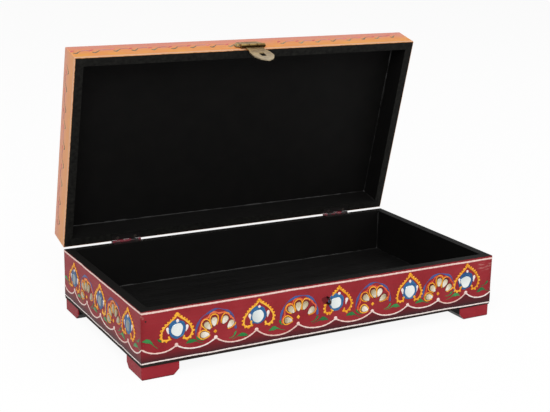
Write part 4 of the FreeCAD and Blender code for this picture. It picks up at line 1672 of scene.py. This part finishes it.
    def build(self, finishes: Mapping[Coat, Finish]) -> None:
        """Paint all four faces and build one piece for each coat.

        Args:
            finishes: the finish of each coat.
        """
        coats = [coat for coat in Coat if coat not in (Coat.PINK, Coat.VINE, Coat.TICK)]
        reliefs = {coat: Relief(f"base_{coat.value}", Body.BASE, finishes[coat]) for coat in coats}
        reliefs[Coat.SHADE].slot = "red_paint"
        for turn, seed in enumerate((11, 23, 37, 41)):
            motifs = Motifs(self.plan.base_face(turn), reliefs, np.random.default_rng(seed))
            if turn % 2 == 0:
                self.long_face(motifs, turn == 0)
            else:
                self.short_face(motifs)
        for relief in reliefs.values():
            relief.build()


@dataclass
class LidOrnament:
    """Fine painted vine on the lid's sides, and raised work on its top."""

    plan: Plan
    # Place along the side and height of each bud
    long_buds: tuple[Pair, ...] = (
        (-146.0, 8.6), (-131.2, 8.7), (-114.1, 9.6), (-100.0, 9.2), (-84.2, 8.7), (-67.7, 8.8), (-51.6, 9.3),
        (-34.9, 8.7), (-19.3, 8.4), (27.9, 9.2), (44.4, 8.3), (60.3, 8.5), (75.2, 9.0), (90.7, 9.2),
        (105.7, 10.2), (119.1, 10.3), (135.6, 11.4),
    )
    short_buds: tuple[Pair, ...] = (
        (-64.3, 12.2), (-47.0, 13.0), (-29.9, 11.6), (-13.9, 10.4), (2.4, 10.6), (19.2, 11.5), (32.4, 12.4),
        (48.8, 13.2), (63.8, 12.0),
    )
    # Places of the top's fans and teardrops from its middle
    fan_place: Pair = (101.0, 33.0)
    tear_place: float = 62.0

    def vine(self, motifs: Motifs, buds: Sequence[Pair], weight: float) -> None:
        """A thin bowed line from bud to bud, each a pink dab over an olive tick.

        Args:
            motifs: the side's motifs.
            buds: place along the side and height of each bud.
            weight: how heavy the brush is.
        """
        for (x, y), after in zip(buds, [x for x, _ in buds[1:]] + [math.inf]):
            spot = Spot(x, y)
            # No line runs on past the last bud or behind the latch
            if after - x < 20:
                end = after - x - 3.6
                run = motifs.shaken([(4.8, 4.4), (0.6 * end + 1.6, 5.0), (0.85 * end, 4.9), (end, 4.2)], 0.15)
                motifs.line(Coat.VINE, run, half=0.52 * weight, height=0.12, spot=spot, uneven=0.3)
            tick = motifs.shaken([(-1.9, 1.5), (-0.2, 0.0), (2.2, 1.9), (4.8, 4.2)], 0.15)
            swell = (0.7, 1.1, 0.9, 0.55, 0.45)
            motifs.line(Coat.TICK, tick, half=0.72 * weight, height=0.16, spot=spot, swell=swell)
            dab = motifs.shaken([(-3.6, 3.2), (-1.8, 4.6), (0.4, 5.4)], 0.2)
            motifs.line(Coat.PINK, dab, half=0.85 * weight, height=0.18, spot=spot, swell=(0.5, 1.0, 0.7))

    def rosette(self, motifs: Motifs) -> None:
        """The middle of the top: a large chip among ten drops, in scalloped rings.

        Args:
            motifs: the top's motifs.
        """
        petals = 10
        motifs.patch(Coat.BLUE, blob(22, 22, ((5, 0.015, 10), (9, 0.012, 40)), 64), slab(0.24))
        motifs.patch(Coat.MIRROR, blob(16.5, 16, ((4, 0.03, 45), (3, 0.02, 10)), 48), slab(0.45))
        for step in range(petals):
            motifs.pearl(Petal(17.2, 0.0, 0.0, 8.6, 5.6), Spot(turn=step * 360 / petals))
        angle = np.linspace(0, 2 * math.pi, 80, endpoint=False)
        for coat, radius, lobes, half in (
            (Coat.ORANGE, 25.0, 0.045, 0.7), (Coat.BLUE, 28.2, 0.02, 0.85), (Coat.GOLD, 31.5, 0.03, 0.75),
        ):
            ring = around(angle, radius * (1 + lobes * np.cos(petals * angle)))
            motifs.line(coat, ring, half, height=0.34, looped=True, uneven=0.25)
        beads = np.linspace(0, 2 * math.pi, 92, endpoint=False)
        ring = around(beads, 33.0 * (1 + 0.03 * np.cos(petals * beads)))
        motifs.dots(Coat.GOLD, ring, radius=0.75, height=0.4)

    def scalloped_border(self, motifs: Motifs) -> None:
        """White bows with dots at their cusps along the inside of the panel.

        Args:
            motifs: the top's motifs.
        """
        inset, pitch, sag = 6.5, 16.0, 3.6
        wide, deep = (half - inset for half in self.plan.panel)
        for turn, half, reach in ((0, wide, deep), (90, deep, wide), (180, wide, deep), (270, deep, wide)):
            spot = Spot(turn=turn)
            cusps = np.linspace(-half, half, int(round(2 * half / pitch)) + 1)
            for start, end in zip(cusps, cusps[1:]):
                bow = hanging_bow((start, -reach), (end, -reach), -reach - sag, 13)
                motifs.line(Coat.WHITE, bow, half=0.5, height=0.3, spot=spot)
            dots = [(cusp, 0.2 - reach) for cusp in cusps[:-1]]
            motifs.dots(Coat.WHITE, spot.put(dots), radius=1.15, height=0.4)

    def top(self, motifs: Motifs) -> None:
        """The top: a rosette, two teardrops and four fans in a scalloped border, and a vine round them.

        Args:
            motifs: the top's motifs.
        """
        self.rosette(motifs)
        along, up = self.fan_place
        for side in (-1, 1):
            for end in (-1, 1):
                corner = motifs.turned(Spot(side * along, end * up, 90 - 90 * side * end))
                corner.fan(Fan(0, -6, FAN_TWO))
                for way in (-1, 1):
                    corner.leaf(way * 20.5, -7.5, way)
            tear = motifs.turned(Spot(side * self.tear_place, 0, -90 * side))
            tear.teardrop(Teardrop(0, motifs.arch_tip, 1.05, 0.0, CHIP_ROUND))
            for way in (-1, 1):
                tear.leaf(way * 16.0, -9.5, way)
                tear.leaf(way * 18.5, -5.5, way, small=True)
        wide, deep = self.plan.panel
        border = [(-wide, -deep), (wide, -deep), (wide, deep), (-wide, deep)]
        for first, second in zip(border, border[1:] + border[:1]):
            motifs.line(Coat.WHITE, np.linspace(first, second, 12), half=0.75, height=0.2)
        self.scalloped_border(motifs)
        long_edge, short_edge = (wide - 2, self.plan.half_depth, 17), (deep - 2, self.plan.half_width, 9)
        for turn in (0, 90, 180, 270):
            half, reach, buds = long_edge if turn % 180 == 0 else short_edge
            angle = math.radians(turn)
            edge = motifs.turned(Spot(reach * math.sin(angle), -reach * math.cos(angle), turn))
            self.vine(edge, [(x, 4.8) for x in np.linspace(-half, half, buds)], 1.0)

    def build(self, finishes: Mapping[Coat, Finish]) -> None:
        """Paint the four sides and the top, and build one piece for each coat.

        Args:
            finishes: the finish of each coat.
        """
        reliefs = {coat: Relief(f"lid_{coat.value}", Body.LID, finishes[coat]) for coat in Coat}
        for turn, seed in enumerate((5, 15, 25, 35)):
            motifs = Motifs(self.plan.lid_face(turn), reliefs, np.random.default_rng(seed))
            if turn % 2 == 0:
                self.vine(motifs, self.long_buds, 1.0)
            else:
                self.vine(motifs, self.short_buds, 0.75)
        self.top(Motifs(self.plan.lid_top(), reliefs, np.random.default_rng(45)))
        for relief in reliefs.values():
            relief.build()


@dataclass
class InsideCorners:
    """Black paint that has gathered in the inside corners of the base and the lid."""

    plan: Plan
    finish: Finish
    # Radius of the hollow and how it varies, length of a step along it, and how far it ends under the rim
    radius: float = 0.8
    spread: Pair = (0.2, 1.2)
    step: float = 1.5
    below_rim: float = 0.6

    def run(self, length: float, random: np.random.Generator) -> Shell:
        """One run of gathered paint along x from 0, in the corner between the planes y = 0 and z = 0.

        Formula: the section is the corner point with a hollow quarter circle of varying radius before it.

        Args:
            length: length of the run in millimetres.
            random: source of the small irregularities.

        Returns:
            The run as a closed surface.
        """
        count = max(8, int(length / self.step))
        knots = max(4, count // 3)
        along = np.linspace(0, length, count)
        rough = np.interp(along, np.linspace(0, length, knots), random.uniform(*self.spread, knots))
        turn = np.linspace(0, math.pi / 2, 5)
        hollow = np.stack((1 - np.sin(turn), 1 - np.cos(turn)), 1)
        section = np.vstack(([(-0.05, -0.05)], hollow[::-1]))
        rings = np.empty((count, len(section), 3))
        rings[:, :, 0] = along[:, None]
        rings[:, :, 1:] = section * (self.radius * rough)[:, None, None]
        return close_rings(rings[:, ::-1])

    def corners(self, low: Triple, high: Triple, floor: int) -> list[tuple[Face, float]]:
        """Frames of the inside edges of a tray.

        Args:
            low: low corner of the inside in millimetres.
            high: high corner.
            floor: 1 if the closed side lies low, -1 if it lies high.

        Returns:
            A face for each edge, whose across runs along the edge, and the edge's length.
        """
        (x0, y0, z0), (x1, y1, z1) = low, high
        bottom = z0 if floor > 0 else z1
        rim_way = (0, 0, floor)
        # Up and out change places in the lid, which lies the other way up
        order = slice(None, None, floor)
        edges = []
        for x, y, along, inward, length in (
            (x0, y0, (1, 0, 0), (0, 1, 0), x1 - x0),
            (x1, y0, (0, 1, 0), (-1, 0, 0), y1 - y0),
            (x1, y1, (-1, 0, 0), (0, -1, 0), x1 - x0),
            (x0, y1, (0, -1, 0), (1, 0, 0), y1 - y0),
        ):
            edges.append((Face((x, y, bottom), along, *(inward, rim_way)[order]), length))
            edges.append((Face((x, y, bottom), rim_way, *(along, inward)[order]), z1 - z0 - self.below_rim))
        return edges

    def build(self) -> None:
        """Build the gathered paint of the base and of the lid."""
        plan = self.plan
        wide, deep = plan.half_width - plan.wall, plan.half_depth - plan.wall
        random = np.random.default_rng(7)
        for body, middle, low, high, floor in (
            (Body.BASE, plan.middle_y, plan.inner_floor, plan.base_rim, 1),
            (Body.LID, plan.lid_middle, plan.lid_rim, plan.lid_rim + plan.lid_walls, -1),
        ):
            relief = Relief(f"{body.value}_paint_in_corners", body, self.finish, "black_paint")
            for face, length in self.corners((-wide, middle - deep, low), (wide, middle + deep, high), floor):
                placed = plan.lid_opened(face) if body is Body.LID else face
                relief.add(self.run(length, random), placed, 0.5)
            relief.build()


@dataclass
class Carcass:
    """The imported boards, feet, hinges, latch and nails, which keep their shape and get their finishes."""

    plan: Plan

    def dress(self) -> None:
        """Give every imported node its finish."""
        plan = self.plan
        # Grey metal with brown specks
        nail = SpeckledMetal("dull_steel_nail", "#8C8680", "#4A372C", 0.7, (0, 1), (0.3, 0.6), 0.04)
        # Nearly black metal, bright only in small rubbed places
        wire = SpeckledMetal("blackened_iron_wire", "#2B2725", "#8B7F78", 0.9, (0.5, 0.7), (0.55, 0.3), 0.05)
        rules = (
            ("foot_nails", nail), ("foot_", FootEnamel(plan)),
            ("bottom_panel_nails", nail), ("bottom_panel", BlackEnamel()),
            ("base_corner_nails", BuriedNail(plan)), ("base_", CaseEnamel(plan)), ("lid_", LidEnamel(plan)),
            ("hinge_left_pin", nail), ("hinge_right_pin", nail), ("hinge_base_nails", nail),
            ("hinge_lid_nails", nail), ("hinge_", PaintedHinge(plan)),
            ("latch_staple", wire), ("latch_", AgedBrass(plan)),
        )
        for name, thing in frame["nodes"].items():
            finish = next(finish for start, finish in rules if name.startswith(start))
            dress(thing, finish)
            log.info("%s: %s", name, finish.name)


@dataclass
class Studio:
    """Floor, lamps, world and camera."""

    floor_size: float = 6.0
    ambient: float = 0.42
    # What the lamps point at, in metres
    aim: Triple = (0.0, 0.0, 0.08)

    def floor(self) -> None:
        """A flat floor that the feet stand on."""
        half = self.floor_size / 2
        corners = [(-half, -half, 0), (half, -half, 0), (half, half, 0), (-half, half, 0)]
        mesh = bpy.data.meshes.new("studio_floor")
        mesh.from_pydata(corners, [], [(0, 1, 2, 3)])
        floor = bpy.data.objects.new("studio_floor", mesh)
        bpy.context.scene.collection.objects.link(floor)
        dress(floor, StudioFloor())

    def world(self) -> None:
        """Even light from all around, seen as white."""
        recipe = Recipe(bpy.data.worlds.new("white_studio"))
        level = recipe.node("MapRange", (recipe.looked_at(), 0, 1, self.ambient, 1))
        sky = recipe.node("Background", {"Color": "#FFFFFF", "Strength": level})
        recipe.node("OutputWorld", (sky,))
        bpy.context.scene.world = recipe.owner

    def lamp(self, name: str, place: Triple, size: float, power: float) -> None:
        """A square soft box that points at the box.

        Args:
            name: the lamp's name.
            place: where it hangs, in metres.
            size: its side in metres.
            power: its power in watts.
        """
        light = bpy.data.lights.new(name, "AREA")
        light.size = size
        light.energy = power
        lamp = bpy.data.objects.new(name, light)
        lamp.location = place
        lamp.rotation_euler = (Vector(self.aim) - Vector(place)).to_track_quat("-Z", "Y").to_euler()
        bpy.context.scene.collection.objects.link(lamp)

    def camera(self) -> None:
        """The camera where the photograph was taken from."""
        data = bpy.data.cameras.new("camera")
        data.lens = 74.99
        data.sensor_width = 36.0
        data.clip_end = 50.0
        camera = bpy.data.objects.new("camera", data)
        right = (0.877673, -0.478911, 0.018297)
        up = (0.107430, 0.233801, 0.966331)
        back = (-0.467065, -0.846157, 0.256651)
        place = (-0.42286, -0.76697, 0.31895)
        camera.matrix_world = Matrix((*zip(right, up, back, place), (0, 0, 0, 1)))
        bpy.context.scene.collection.objects.link(camera)
        bpy.context.scene.camera = camera

    def build(self) -> None:
        """Set up the whole studio."""
        self.floor()
        self.world()
        self.lamp("key_soft_box", (-0.9, -1.45, 1.45), size=1.4, power=24.8)
        self.lamp("right_soft_box", (1.6, -0.7, 1.1), size=1.2, power=8.5)
        self.lamp("top_soft_box", (0.0, 0.1, 2.2), size=1.6, power=5.5)
        self.camera()
        bpy.context.scene.view_settings.view_transform = "Standard"


def main() -> None:
    """Build the looks in order."""
    logging.basicConfig(level=logging.INFO, format="%(message)s")
    plan = Plan.read()
    finishes = {
        Coat.GOLD: PipedPaint("piped_golden_yellow_paint", "#D07F0E", "#FBA91A", "#FFC645"),
        Coat.BLUE: PipedPaint("brushed_blue_paint", "#123E6A", "#1C5890", "#4484B2"),
        Coat.GLAZE: PipedPaint("thin_blue_glaze", "#5C3A68", "#44548F", "#3A66A8"),
        Coat.WHITE: PipedPaint("piped_pinkish_white_paint", "#E0B4A8", "#F5D6CC", "#FBEEE9"),
        Coat.ORANGE: PipedPaint("piped_orange_red_paint", "#BE3A1E", "#DE5530", "#EC7A45"),
        Coat.GREEN: PipedPaint("brushed_green_paint", "#17532A", "#227C38", "#429550"),
        Coat.PINK: PipedPaint("brushed_pink_paint", "#A82C44", "#CC4A5C", "#DE7A80"),
        Coat.VINE: PipedPaint("brushed_mauve_paint", "#8A4A5E", "#AC627A", "#C08A9C"),
        Coat.TICK: PipedPaint("brushed_olive_paint", "#3A4030", "#5A6048", "#868A6C"),
        Coat.PEARL: PearlShell(),
        Coat.MIRROR: MirrorChip(),
        Coat.SHADE: DarkGlaze(plan),
    }
    Carcass(plan).dress()
    InsideCorners(plan, BlackEnamel("gathered_black_enamel", gloss=0.4, rough=(0.15, 0.7))).build()
    BaseOrnament(plan).build(finishes)
    LidOrnament(plan).build(finishes)
    Studio().build()


if __name__ == "__main__":
    main()
